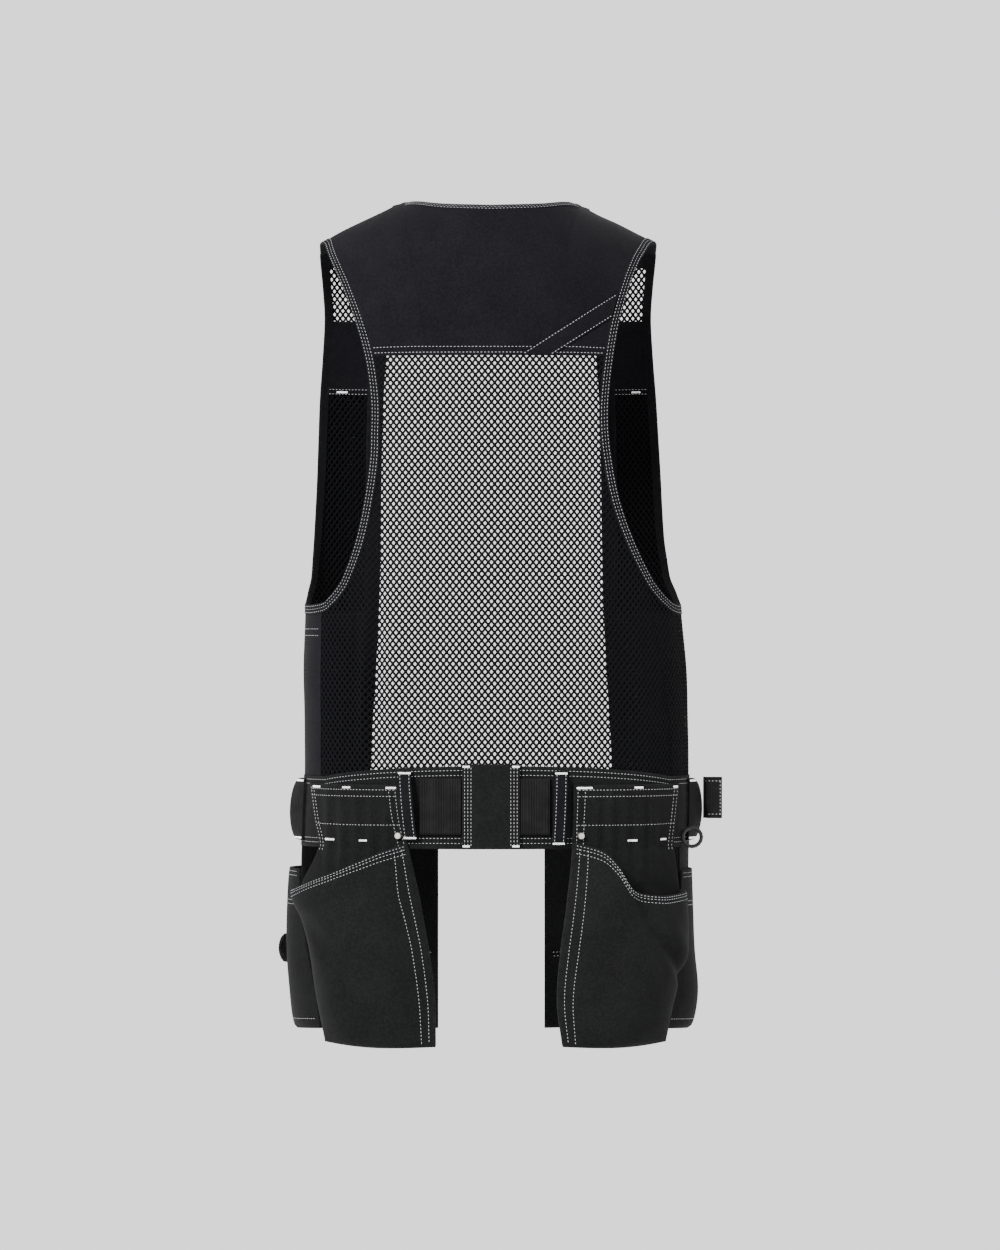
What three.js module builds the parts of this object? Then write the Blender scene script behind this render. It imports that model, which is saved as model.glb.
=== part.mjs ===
// Utility work vest: cloth yoke, net back and sides, bound armholes, belt with two holsters, plain fronts.
// Millimetres. The back faces -Y, +X is the wearer's right side and +Z is up.
// The origin lies on the shoulders, midway between the two neck points.

import * as THREE from 'three';

const { degToRad } = THREE.MathUtils;

// Cloth and seams
const clothThickness = 1.5;
const netThickness = 1.2;
const bandThickness = 2.6;
const webbingThickness = 2;
const bindingWidth = 10.5;
const bindingThickness = 2.6;
const neckBindingWidth = 7;
const seamGap = 0.8;
const layerGap = 0.7;

// Shoulders and back
const neckHalf = 90;
const neckDepth = 72;
const neckLean = degToRad(48);
const shoulderHalf = 176;
const shoulderDrop = 42;
const yokeDrop = 168;
const armholeDrop = 432;
const underArmSag = 1.006;
const underArmCurve = 1.6;
const underArmShare = 0.8;
const frontRounding = 96;
const stripStart = 31;
const stripReach = 33;
const stripSlope = Math.tan(degToRad(33));
const neckTapeTurn = degToRad(84);

// Waist and belt
const waistHalf = 205;
const waistDepth = 127;
const beltDrop = 599;
const beltDip = 12;
const beltHeight = 87;
const beltEnd = degToRad(100);
const sideNetReach = 0.875;
const elasticHeight = 59;
const elasticRise = 1;
const elasticEndLeft = 74;
const elasticEndRight = 61;
const centrePanelWidth = 60;
const centrePanelRise = 2;
const beltLoopWidth = 13;
const beltLoopRise = 6;
const beltLoopTopInset = 5;
const sideLoopWidth = 26;
const sideLoopRise = 11;
const sideLoopHeight = 66;
const sideLoopInset = 3;
const sideLoopTurn = degToRad(84);
const archFullness = 0.5;

// Holsters
const holsterDrop = 293;
const holsterBulge = 32;
const holsterSwing = 14;
const swingFullness = 0.6;
const pouchSkew = 1.35;
const pouchFullness = 0.6;
const pouchTaper = 2.4;
const pouchMouthShare = 0.85;
const pouchMouthRun = 0.25;
const rivetRadius = 4.2;
const rivetHeight = 2.4;
const rivetAcross = 0.06;
const rivetDown = 0.25;
const rivetTaper = 0.75;

// Fronts
const placketWidth = 18;
const strapDrop = 66;
const chestPanelTop = 122;
const chestPanelHeight = 76;
const chestPocketBulge = 12;
const chestPocketTop = 205;
const chestPocketInset = 4;
const chestPocketFullness = 0.7;
const chestPocketTaper = 3;
const frontPocketMouth = 25;
const frontPocketDrop = 278;
const frontPocketSag = 14;
const frontPocketInner = 58;
const frontPocketBulge = 28;
const frontPocketTaper = 4;
const frontPocketRearRun = 0.22;
const frontPocketInnerRun = 0.08;
const frontPocketTurnStart = 0.35;
const frontPocketTurnRun = 0.3;
const buckleWidth = 62;
const buckleHeight = 60;
const buckleDepth = 11;
const buckleRound = 8;

// Hardware at the belt's sides
const dRingRadius = 10;
const dRingWire = 2;
const ringTurn = degToRad(69);
const strapEndLength = 44;
const strapEndWidth = 20;
const strapEndThickness = 3;
const strapEndLift = 12;
const toolTabHeight = 30;
const toolTabRise = 7;
const toolTabAcross = 0.31;
const toolTabHalf = 0.055;
const toolTabDown = 0.42;

const LEFT = -1;
const RIGHT = 1;
const BACK = -1;
const FRONT = 1;
const squareness = 2.3;
const roundedShare = 0.8;
const nudge = 0.05;
const settleSteps = 20;
const settleShare = 0.6;
const ridgeClear = 2;

// The body form under the cloth. down is a share of beltDrop, back and front (half widths) and
// shift are shares of waistHalf, and depth is a share of waistDepth.
const formRows = [
  { down: 0.00, back: 0.910, front: 1.100, depth: 0.880, shift: -0.015 },
  { down: 0.35, back: 0.910, front: 1.100, depth: 0.900, shift: -0.015 },
  { down: 0.50, back: 0.930, front: 1.065, depth: 0.935, shift: -0.010 },
  { down: 0.62, back: 0.955, front: 1.005, depth: 0.960, shift: -0.003 },
  { down: 0.72, back: 0.975, front: 0.975, depth: 0.975, shift: 0.010 },
  { down: 0.84, back: 0.993, front: 0.993, depth: 0.990, shift: 0.022 },
  { down: 1.00, back: 1.000, front: 1.000, depth: 1.000, shift: 0.030 },
  { down: 1.15, back: 1.005, front: 1.005, depth: 1.010, shift: 0.020 },
  { down: 1.55, back: 1.005, front: 1.005, depth: 1.030, shift: 0.005 },
];

// The neck edge and the shoulder ridge. across is a share of shoulderHalf, left and right of
// shoulderDrop.
const ridgeRows = [
  { across: 0.00, left: 0.13, right: 0.13 },
  { across: 0.30, left: 0.09, right: 0.09 },
  { across: 0.48, left: 0.00, right: 0.02 },
  { across: 0.56, left: 0.06, right: 0.13 },
  { across: 0.66, left: 0.25, right: 0.35 },
  { across: 0.78, left: 0.48, right: 0.58 },
  { across: 0.90, left: 0.73, right: 0.83 },
  { across: 1.00, left: 0.97, right: 1.04 },
  { across: 1.20, left: 1.45, right: 1.50 },
];

// Centre line of the armhole tape behind. down is a share of armholeDrop, left and right of shoulderHalf.
const backEdgeRows = [
  { down: 0.100, left: 0.985, right: 0.940 },
  { down: 0.145, left: 0.943, right: 0.872 },
  { down: 0.206, left: 0.877, right: 0.812 },
  { down: 0.303, left: 0.787, right: 0.743 },
  { down: 0.400, left: 0.722, right: 0.702 },
  { down: 0.498, left: 0.692, right: 0.677 },
  { down: 0.571, left: 0.692, right: 0.677 },
  { down: 0.644, left: 0.698, right: 0.697 },
  { down: 0.741, left: 0.731, right: 0.744 },
  { down: 0.838, left: 0.782, right: 0.828 },
  { down: 0.935, left: 0.868, right: 0.945 },
  { down: 0.976, left: 0.937, right: 1.020 },
  { down: 1.000, left: 1.000, right: 1.085 },
];

// Centre line of the armhole tape in front, in the same shares.
const frontEdgeRows = [
  { down: 0.100, left: 1.012, right: 0.976 },
  { down: 0.130, left: 1.020, right: 0.980 },
  { down: 0.280, left: 0.999, right: 0.956 },
  { down: 0.481, left: 1.028, right: 0.988 },
  { down: 0.681, left: 1.046, right: 1.018 },
  { down: 0.831, left: 1.066, right: 1.040 },
  { down: 0.932, left: 1.085, right: 1.080 },
];

// The open front edges. down is a share of beltDrop, half of waistHalf.
const openingRows = [
  { down: 0.00, half: 0.430 },
  { down: 0.10, half: 0.468 },
  { down: 0.28, half: 0.560 },
  { down: 0.72, half: 0.595 },
  { down: 1.00, half: 0.640 },
];

// Side edges of the holsters. down is a share of holsterDrop, the edges are shares of waistHalf.
const holsterRows = [
  { down: 0.068, leftOuter: 0.925, leftInner: 0.470, rightInner: 0.420, rightOuter: 0.960 },
  { down: 0.194, leftOuter: 0.900, leftInner: 0.450, rightInner: 0.415, rightOuter: 0.940 },
  { down: 0.302, leftOuter: 0.875, leftInner: 0.415, rightInner: 0.410, rightOuter: 0.925 },
  { down: 0.456, leftOuter: 0.945, leftInner: 0.360, rightInner: 0.385, rightOuter: 0.935 },
  { down: 0.560, leftOuter: 0.895, leftInner: 0.332, rightInner: 0.365, rightOuter: 0.935 },
  { down: 0.660, leftOuter: 0.860, leftInner: 0.305, rightInner: 0.345, rightOuter: 0.925 },
  { down: 0.840, leftOuter: 0.825, leftInner: 0.275, rightInner: 0.325, rightOuter: 0.870 },
  { down: 1.000, leftOuter: 0.790, leftInner: 0.270, rightInner: 0.350, rightOuter: 0.830 },
];

// Mouths of the holster pouches. across runs from the inner to the outer edge, the rest are
// shares of holsterDrop.
const mouthRows = [
  { across: 0.00, left: 0.276, right: 0.272 },
  { across: 0.20, left: 0.307, right: 0.304 },
  { across: 0.30, left: 0.328, right: 0.356 },
  { across: 0.40, left: 0.351, right: 0.437 },
  { across: 0.58, left: 0.395, right: 0.462 },
  { across: 0.80, left: 0.440, right: 0.456 },
  { across: 1.00, left: 0.455, right: 0.450 },
];

// Front pockets round the body's side. down runs from the mouth to the bottom, the rear edges are
// shares of waistHalf and the bulges shares of frontPocketBulge.
const pocketRows = [
  { down: 0.00, leftRear: 0.985, rightRear: 0.970, leftBulge: 0.54, rightBulge: 0.06 },
  { down: 0.30, leftRear: 0.970, rightRear: 0.965, leftBulge: 0.50, rightBulge: 0.15 },
  { down: 0.54, leftRear: 0.935, rightRear: 0.950, leftBulge: 0.45, rightBulge: 0.25 },
  { down: 0.77, leftRear: 0.895, rightRear: 0.910, leftBulge: 0.38, rightBulge: 0.45 },
  { down: 1.00, leftRear: 0.870, rightRear: 0.870, leftBulge: 0.38, rightBulge: 0.50 },
];

// Side seams of the back net. down is a share of beltDrop, left and right of waistHalf.
const seamRows = [
  { down: 0.64, left: 0.697, right: 0.800 },
  { down: 0.78, left: 0.707, right: 0.850 },
  { down: 0.90, left: 0.742, right: 0.912 },
  { down: 1.00, left: 0.758, right: 0.927 },
];

// Finishes, as shown
function finish(color, roughness, metalness) {
  return new THREE.MeshStandardMaterial({ color, roughness, metalness });
}

const yokeCloth = finish(0x232227, 0.85, 0);
const net = finish(0x1a1a1c, 0.7, 0);
const tape = finish(0x1f1e21, 0.8, 0);
const webbing = finish(0x1c1c1c, 0.75, 0);
const holsterCloth = finish(0x272828, 0.85, 0);
const plastic = finish(0x141414, 0.45, 0);
const metal = finish(0xb8b2a4, 0.35, 1);

const vest = new THREE.Group();

// Reads one column of a table at a place between its rows, on a smooth cubic run.
function readTable(rows, key, column, at) {
  const last = rows.length - 1;
  if (at <= rows[0][key]) return rows[0][column];
  if (at >= rows[last][key]) return rows[last][column];
  let index = 0;
  while (rows[index + 1][key] < at) index += 1;
  const slope = (row) => {
    const before = rows[Math.max(0, row - 1)];
    const after = rows[Math.min(last, row + 1)];
    return (after[column] - before[column]) / (after[key] - before[key]);
  };
  const start = rows[index];
  const end = rows[index + 1];
  const span = end[key] - start[key];
  const t = (at - start[key]) / span;
  const rest = 1 - t;
  return start[column] * (1 + 2 * t) * rest * rest + end[column] * (3 - 2 * t) * t * t
    + span * t * rest * (slope(index) * rest - slope(index + 1) * t);
}

function mix(a, b, t) {
  return a + (b - a) * t;
}

// Nears the value at which miss is nothing, by a share of what is missing each step.
function settle(start, miss) {
  let value = start;
  for (let step = 0; step < settleSteps; step += 1) value += settleShare * miss(value);
  return value;
}

// Height of the neck edge or shoulder ridge above a place across the body.
function ridge(x) {
  const column = x < 0 ? 'left' : 'right';
  return -shoulderDrop * readTable(ridgeRows, 'across', column, Math.abs(x) / shoulderHalf);
}

// Half widths, depth and sideways shift of the form at a height.
function section(z) {
  const down = -z / beltDrop;
  return {
    [BACK]: waistHalf * readTable(formRows, 'down', 'back', down),
    [FRONT]: waistHalf * readTable(formRows, 'down', 'front', down),
    depth: waistDepth * readTable(formRows, 'down', 'depth', down),
    shift: waistHalf * readTable(formRows, 'down', 'shift', down),
  };
}

// A point of the form by its place across and its height. Behind, the surface rounds over to the
// neck edge or the ridge within the yoke's height, and in front within frontRounding.
function facePoint(face, x, z) {
  const at = section(z);
  const out = Math.min(1, Math.abs(x - at.shift) / at[face]);
  const full = at.depth * (1 - out ** squareness) ** (1 / squareness);
  const neck = face === BACK ? Math.sqrt(Math.max(0, 1 - (x / neckHalf) ** 2)) : 0;
  const lean = neckLean * neck;
  const start = neckDepth * neck;
  const height = face === BACK ? roundedShare * (ridge(x) + yokeDrop) : frontRounding;
  const fall = Math.cos(lean) * (1 - (ridge(x) - z) / height);
  const rise = Math.sqrt(1 - Math.max(0, Math.min(1, fall)) ** 2);
  const share = (rise - Math.sin(lean)) / (1 - Math.sin(lean));
  return new THREE.Vector3(x, face * (start + (full - start) * share), z);
}

// A point of the form by its turn from the centre back, for pieces that pass round the sides.
function turnPoint(turn, z) {
  const at = section(z);
  const face = Math.cos(turn) >= 0 ? BACK : FRONT;
  const power = 2 / squareness;
  const out = Math.abs(Math.sin(turn)) ** power;
  const deep = Math.abs(Math.cos(turn)) ** power;
  return new THREE.Vector3(at.shift + Math.sign(turn) * at[face] * out, face * at.depth * deep, z);
}

// The turn at which the form is x across, behind or in front.
function turnOf(face, x, z) {
  const at = section(z);
  const out = Math.min(1, Math.abs(x - at.shift) / at[face]);
  const turn = Math.asin(out ** (squareness / 2));
  return Math.sign(x) * (face === BACK ? turn : Math.PI - turn);
}

// A point of the form behind, by its place across and its depth on the rounded top.
function topPoint(x, depth) {
  const top = ridge(x);
  const neck = Math.sqrt(Math.max(0, 1 - (x / neckHalf) ** 2));
  const lean = neckLean * neck;
  const start = neckDepth * neck;
  const full = -facePoint(BACK, x, -yokeDrop).y;
  const share = Math.max(0, (depth - start) / (full - start));
  const rise = Math.sin(lean) + share * (1 - Math.sin(lean));
  const height = roundedShare * (top + yokeDrop);
  return facePoint(BACK, x, top - height * (1 - Math.sqrt(1 - rise * rise) / Math.cos(lean)));
}

// The outward normal of the form at a point, from two short steps along it.
function formNormal(face, x, z) {
  const across = facePoint(face, x + nudge, z).sub(facePoint(face, x - nudge, z));
  const up = facePoint(face, x, z + nudge).sub(facePoint(face, x, z - nudge));
  return across.cross(up).multiplyScalar(face === BACK ? 1 : -1).normalize();
}

function turnNormal(turn, z) {
  const small = nudge / waistHalf;
  const across = turnPoint(turn + small, z).sub(turnPoint(turn - small, z));
  const up = turnPoint(turn, z + nudge).sub(turnPoint(turn, z - nudge));
  return across.cross(up).normalize();
}

function addMesh(name, material, vertices, faces) {
  const geometry = new THREE.BufferGeometry();
  let volume = 0;
  for (const [a, b, c] of faces) {
    volume += vertices[a].dot(new THREE.Vector3().crossVectors(vertices[b], vertices[c]));
  }
  const order = volume < 0 ? faces.map(([a, b, c]) => [a, c, b]) : faces;
  const places = vertices.flatMap((vertex) => vertex.toArray());
  geometry.setAttribute('position', new THREE.Float32BufferAttribute(places, 3));
  geometry.setIndex(order.flat());
  geometry.computeVertexNormals();
  const mesh = new THREE.Mesh(geometry, material);
  mesh.name = name;
  vest.add(mesh);
  return mesh;
}

// Outward normals of a grid of points, from each point's neighbours.
function gridNormals(grid) {
  return grid.map((row, r) => row.map((here, c) => {
    const across = row[Math.min(row.length - 1, c + 1)].clone().sub(row[Math.max(0, c - 1)]);
    const down = grid[Math.min(grid.length - 1, r + 1)][c].clone().sub(grid[Math.max(0, r - 1)][c]);
    const normal = across.cross(down).normalize();
    const outward = new THREE.Vector3(here.x, here.y, here.z - Math.min(here.z, -beltDrop / 3));
    return normal.dot(outward) < 0 ? normal.negate() : normal;
  }));
}

function raise(grid, height) {
  const normals = gridNormals(grid);
  return grid.map((row, r) => row.map((here, c) => {
    return here.clone().addScaledVector(normals[r][c], height(c, r));
  }));
}

// Even shares from 0 to 1.
function shares(count) {
  return Array.from({ length: count + 1 }, (_, index) => index / count);
}

// A cloth wall on a surface of two shares. Its inner face lies lift above the surface, a number or
// a function of the shares.
function sheet(name, material, point, columns, rows, thickness, lift) {
  const base = rows.map((r) => columns.map((c) => point(c, r)));
  const height = typeof lift === 'number' ? () => lift : (c, r) => lift(columns[c], rows[r]);
  const inner = raise(base, height);
  const outer = raise(inner, () => thickness);
  const vertices = [...inner.flat(), ...outer.flat()];
  const wide = columns.length;
  const high = rows.length;
  const at = (c, r, side) => side * wide * high + r * wide + c;
  const faces = [];
  const quad = (a, b, c, d) => faces.push([a, b, c], [a, c, d]);
  for (let r = 0; r + 1 < high; r += 1) {
    for (let c = 0; c + 1 < wide; c += 1) {
      quad(at(c, r, 0), at(c + 1, r, 0), at(c + 1, r + 1, 0), at(c, r + 1, 0));
      quad(at(c, r, 1), at(c, r + 1, 1), at(c + 1, r + 1, 1), at(c + 1, r, 1));
    }
    quad(at(0, r, 0), at(0, r + 1, 0), at(0, r + 1, 1), at(0, r, 1));
    quad(at(wide - 1, r, 0), at(wide - 1, r, 1), at(wide - 1, r + 1, 1), at(wide - 1, r + 1, 0));
  }
  for (let c = 0; c + 1 < wide; c += 1) {
    quad(at(c, 0, 0), at(c, 0, 1), at(c + 1, 0, 1), at(c + 1, 0, 0));
    quad(at(c, high - 1, 0), at(c + 1, high - 1, 0), at(c + 1, high - 1, 1), at(c, high - 1, 1));
  }
  return addMesh(name, material, vertices, faces);
}

// A net wall and a cloth wall that lie centred on the form.
function netSheet(name, point, columns, rows) {
  return sheet(name, net, point, shares(columns), shares(rows), netThickness, -netThickness / 2);
}

function clothSheet(name, material, point, columns, rows) {
  return sheet(name, material, point, columns, rows, clothThickness, -clothThickness / 2);
}

// A tape of rectangular section along stations, each a place and the normal of the cloth there.
function sweep(name, material, stations, width, thickness, closed) {
  const count = stations.length;
  const vertices = [];
  stations.forEach(({ place, normal }, index) => {
    const before = stations[closed ? (index + count - 1) % count : Math.max(0, index - 1)].place;
    const after = stations[closed ? (index + 1) % count : Math.min(count - 1, index + 1)].place;
    const along = after.clone().sub(before).normalize();
    const side = new THREE.Vector3().crossVectors(normal, along).normalize();
    const up = new THREE.Vector3().crossVectors(along, side).normalize();
    for (const [across, high] of [[-1, -1], [1, -1], [1, 1], [-1, 1]]) {
      const corner = place.clone().addScaledVector(side, across * width / 2);
      vertices.push(corner.addScaledVector(up, high * thickness / 2));
    }
  });
  const faces = [];
  const corners = 4;
  const runs = closed ? count : count - 1;
  for (let index = 0; index < runs; index += 1) {
    const ahead = ((index + 1) % count) * corners;
    for (let corner = 0; corner < corners; corner += 1) {
      const next = (corner + 1) % corners;
      const a = index * corners + corner;
      const b = index * corners + next;
      faces.push([a, b, ahead + next], [a, ahead + next, ahead + corner]);
    }
  }
  if (!closed) {
    const end = (count - 1) * corners;
    faces.push([0, 2, 1], [0, 3, 2], [end, end + 1, end + 2], [end, end + 2, end + 3]);
  }
  return addMesh(name, material, vertices, faces);
}

function sideName(base, side) {
  return `${base}_${side === LEFT ? 'left' : 'right'}`;
}

function columnOf(side) {
  return side === LEFT ? 'left' : 'right';
}

// Armhole edges
function edgeX(face, side, z) {
  const rows = face === BACK ? backEdgeRows : frontEdgeRows;
  return side * shoulderHalf * readTable(rows, 'down', columnOf(side), -z / armholeDrop);
}

// The edge's point on the form, kept below the ridge.
function edgePoint(face, side, z) {
  const x = edgeX(face, side, z);
  return facePoint(face, x, Math.min(z, ridge(x)));
}

// A place beside the armhole tape, at a distance in the cloth towards the body's middle.
function besideEdge(face, side, z, distance) {
  const level = Math.min(z, ridge(edgeX(face, side, z)) - ridgeClear);
  const place = edgePoint(face, side, level);
  const along = edgePoint(face, side, level + 1).sub(edgePoint(face, side, level - 1));
  const across = new THREE.Vector3().crossVectors(formNormal(face, place.x, place.z), along).normalize();
  const inward = across.x * side > 0 ? across.negate() : across;
  return place.addScaledVector(inward, distance);
}

// The same place, found at a height of its own.
function besideAt(face, side, z, distance) {
  const level = settle(z, (at) => z - besideEdge(face, side, at, distance).z);
  return { x: besideEdge(face, side, level, distance).x, z };
}

const tapeClear = bindingWidth / 2 + seamGap;

// The heights of a table's rows, with one more between each two.
function edgeLevels(rows) {
  return rows.flatMap((row, index) => {
    const next = rows[index + 1];
    return next ? [row.down, (row.down + next.down) / 2] : [row.down];
  }).map((down) => -armholeDrop * down);
}

// Stations of the whole armhole tape: down the back edge, under the arm and up the front edge.
function armholeStations(side) {
  const stations = [];
  const addEdge = (face, z) => {
    const place = edgePoint(face, side, z);
    stations.push({ place, normal: formNormal(face, place.x, place.z) });
  };
  const addTurn = (turn, z) => {
    stations.push({ place: turnPoint(turn, z), normal: turnNormal(turn, z) });
  };
  const crest = side * shoulderHalf * frontEdgeRows[0][columnOf(side)];
  const crestNormal = new THREE.Vector3(side, 0, 2).normalize();
  stations.push({ place: new THREE.Vector3(crest, 0, ridge(crest)), normal: crestNormal });
  const behind = edgeLevels(backEdgeRows);
  const ahead = edgeLevels(frontEdgeRows).slice(1).reverse();
  behind.forEach((z) => addEdge(BACK, z));
  const low = -armholeDrop * underArmSag;
  const underSide = side * Math.PI / 2;
  const rear = turnOf(BACK, edgeX(BACK, side, behind.at(-1)), behind.at(-1));
  const fore = turnOf(FRONT, edgeX(FRONT, side, ahead[0]), ahead[0]);
  shares(3).slice(1).forEach((share) => addTurn(mix(rear, underSide, share), low));
  shares(3).slice(1, -1).forEach((share) => {
    addTurn(mix(underSide, fore, share), mix(low, ahead[0], share ** underArmCurve));
  });
  ahead.forEach((z) => addEdge(FRONT, z));
  return stations;
}

const armholeTapes = {};
for (const side of [LEFT, RIGHT]) {
  armholeTapes[side] = armholeStations(side);
  const name = sideName('armhole_binding', side);
  sweep(name, tape, armholeTapes[side], bindingWidth, bindingThickness, true);
}

// The tape's lower edge under the arm, by the turn round the body.
function underArm(side, turn) {
  const rows = armholeTapes[side]
    .filter(({ place }) => place.z < -armholeDrop * underArmShare)
    .map(({ place }) => ({
      turn: Math.abs(turnOf(place.y < 0 ? BACK : FRONT, place.x, place.z)),
      z: place.z,
    }))
    .sort((a, b) => a.turn - b.turn);
  const small = degToRad(1);
  const heightAt = (at) => readTable(rows, 'turn', 'z', Math.abs(at));
  const low = heightAt(turn);
  const rise = heightAt(Math.abs(turn) + small) - heightAt(Math.abs(turn) - small);
  const run = turnPoint(turn + small, low).sub(turnPoint(turn - small, low)).length();
  return low - tapeClear * Math.hypot(1, rise / run);
}

// Yoke. Its rows start beside the neck tape, run over the rounded top and then straight to the hem.
const turnRows = 0.75;
const neckClear = neckBindingWidth + seamGap;
const yokeClear = tapeClear + clothThickness / 4;

function yokeHeight(x, r) {
  const reach = neckHalf + neckClear;
  const round = Math.sqrt(Math.max(0, 1 - (x / reach) ** 2));
  const top = topPoint(x, Math.max(seamGap / 2, (neckDepth + neckClear) * round)).z;
  const low = ridge(x) - roundedShare * (ridge(x) + yokeDrop);
  if (r < turnRows) return mix(low, top, Math.cos(Math.PI / 2 * r / turnRows));
  return mix(low, -yokeDrop, (r - turnRows) / (1 - turnRows));
}

function yokeEdge(side, r) {
  const level = settle(-yokeDrop / 2, (at) => {
    const place = besideEdge(BACK, side, at, yokeClear);
    return yokeHeight(place.x, r) - place.z;
  });
  return besideEdge(BACK, side, level, yokeClear).x;
}

// Keeps what a function works out for each row.
function perRow(work) {
  const known = new Map();
  return (r) => {
    if (!known.has(r)) known.set(r, work(r));
    return known.get(r);
  };
}

const yokeEdges = perRow((r) => [yokeEdge(LEFT, r), yokeEdge(RIGHT, r)]);
const yokeColumns = [-1, -0.86, -0.74, -0.66, -0.60, -0.55, -0.50, -0.44, -0.36, -0.25, -0.13, 0]
  .flatMap((share) => (share < 0 ? [share, -share] : [share]))
  .sort((a, b) => a - b)
  .map((share) => (1 + share) / 2);

function yokePoint(c, r) {
  const [left, right] = yokeEdges(r);
  const x = mix(left, right, c);
  return facePoint(BACK, x, yokeHeight(x, r));
}

clothSheet('back_yoke', yokeCloth, yokePoint, yokeColumns, shares(7));

// Neck tape, round the back of the neck from one neck point to the other.
const neckTurns = shares(16).map((share) => mix(-neckTapeTurn, neckTapeTurn, share));
const neckStations = neckTurns.map((turn) => {
  const half = neckHalf + neckBindingWidth / 2;
  const depth = neckDepth + neckBindingWidth / 2;
  const place = topPoint(half * Math.sin(turn), depth * Math.cos(turn));
  return { place, normal: formNormal(BACK, place.x, Math.min(place.z, ridge(place.x) - nudge)) };
});
sweep('neck_binding', tape, neckStations, neckBindingWidth, bindingThickness, false);

// The slanting strip on the yoke's lower right, from the hem to the armhole tape.
const stripFoot = -yokeDrop + seamGap;
const stripEnds = [0, 1].map((edge) => {
  const start = stripStart + edge * stripReach;
  const height = (x) => stripFoot + (x - start) * stripSlope;
  const end = settle(start, (x) => besideEdge(BACK, RIGHT, height(x), tapeClear).x - x);
  return { start, end: end - seamGap };
});

function stripPoint(c, r) {
  const rise = ({ start, end }) => {
    const x = mix(start, end, c);
    return { x, z: stripFoot + (x - start) * stripSlope };
  };
  const upper = rise(stripEnds[0]);
  const lower = rise(stripEnds[1]);
  return facePoint(BACK, mix(upper.x, lower.x, r), mix(upper.z, lower.z, r));
}

const overYoke = clothThickness / 2 + layerGap;
sheet('yoke_strip', yokeCloth, stripPoint, shares(7), shares(2), clothThickness, overYoke);

// Belt lines. The top edge dips a little towards the sides.
function beltTop(turn) {
  return -beltDrop - beltDip * Math.min(1, Math.abs(turn) / (Math.PI / 3)) ** 2;
}

const beltBottom = -beltDrop - beltHeight;

function seamX(side, z) {
  return side * waistHalf * readTable(seamRows, 'down', columnOf(side), -z / beltDrop);
}

// Back net, between the armhole tapes above and the side seams below.
function netEdge(side, z) {
  const beside = besideAt(BACK, side, z, tapeClear + netThickness / 4);
  const seam = seamX(side, z) - side * seamGap / 2;
  return Math.abs(beside.x) < Math.abs(seam) ? beside : { x: seam, z };
}

const netFootCurve = 4;
const netTop = -yokeDrop - seamGap;
const netFoot = beltTop(Math.PI / 3) + seamGap;
const netEdges = perRow((r) => [LEFT, RIGHT].map((side) => netEdge(side, mix(netTop, netFoot, r)).x));

function netPoint(c, r) {
  const [left, right] = netEdges(r);
  const x = mix(left, right, c);
  const foot = beltTop(turnOf(BACK, x, -beltDrop)) + seamGap;
  return facePoint(BACK, x, mix(netTop, netFoot, r) + (foot - netFoot) * r ** netFootCurve);
}

netSheet('back_mesh', netPoint, 16, 12);

// Side nets, from the side seam on: the left one ends behind, the right one passes round the side.
function sideEnd(side, z) {
  return side === LEFT ? turnOf(BACK, side * waistHalf * sideNetReach, z) : side * beltEnd;
}

function sideStart(side, z) {
  return turnOf(BACK, seamX(side, z) + side * seamGap / 2, z);
}

for (const side of [LEFT, RIGHT]) {
  const high = -armholeDrop;
  const top = perRow((c) => underArm(side, mix(sideStart(side, high), sideEnd(side, high), c)));
  const point = (c, r) => {
    const start = mix(sideStart(side, high), sideEnd(side, high), c);
    const z = mix(top(c), beltTop(start) + seamGap, r);
    return turnPoint(mix(sideStart(side, z), sideEnd(side, z), c), z);
  };
  netSheet(sideName('side_mesh', side), point, side === LEFT ? 5 : 7, 8);
}

// Front edges, hanging further apart towards the waist.
function frontEdge(side, z) {
  return side * waistHalf * readTable(openingRows, 'down', 'half', -z / beltDrop);
}

// A place across, at a distance in the cloth from the front edge.
function besidePlacket(side, z, distance) {
  const x = frontEdge(side, z);
  const level = Math.min(z, -strapDrop);
  const stretch = facePoint(FRONT, x + side, level).distanceTo(facePoint(FRONT, x, level));
  return x + side * distance / stretch;
}

// A height on the shoulder's rounded front, by its share of the quarter turn.
function frontHeight(x, share) {
  return ridge(x) - frontRounding * (1 - Math.cos(share * Math.PI / 2));
}

const frontTop = 0.02;
const waistLine = -beltDrop - beltDip + seamGap;

function placketStations(side) {
  const rounded = shares(4).map((part) => {
    const share = mix(frontTop, 1, part);
    const x = besidePlacket(side, frontHeight(frontEdge(side, 0), share), placketWidth / 2);
    return { x, z: frontHeight(x, share) };
  });
  const straight = shares(14).slice(1).map((part) => {
    const z = mix(rounded.at(-1).z, waistLine, part);
    return { x: besidePlacket(side, z, placketWidth / 2), z };
  });
  return [...rounded, ...straight].map(({ x, z }) => {
    return { place: facePoint(FRONT, x, z), normal: formNormal(FRONT, x, z) };
  });
}

for (const side of [LEFT, RIGHT]) {
  sweep(sideName('front_placket', side), tape, placketStations(side), placketWidth, bandThickness, false);
}

// A front piece between the placket and the armhole tape, from one height to another.
function frontSpan(side, top, bottom, inset) {
  const edges = perRow((r) => {
    const z = mix(top, bottom, r);
    const inner = besidePlacket(side, z, placketWidth + seamGap + inset);
    return { inner, outer: besideAt(FRONT, side, z, tapeClear + inset / 4).x, z };
  });
  return (c, r) => {
    const { inner, outer, z } = edges(r);
    return facePoint(FRONT, mix(inner, outer, c), z);
  };
}

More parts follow.
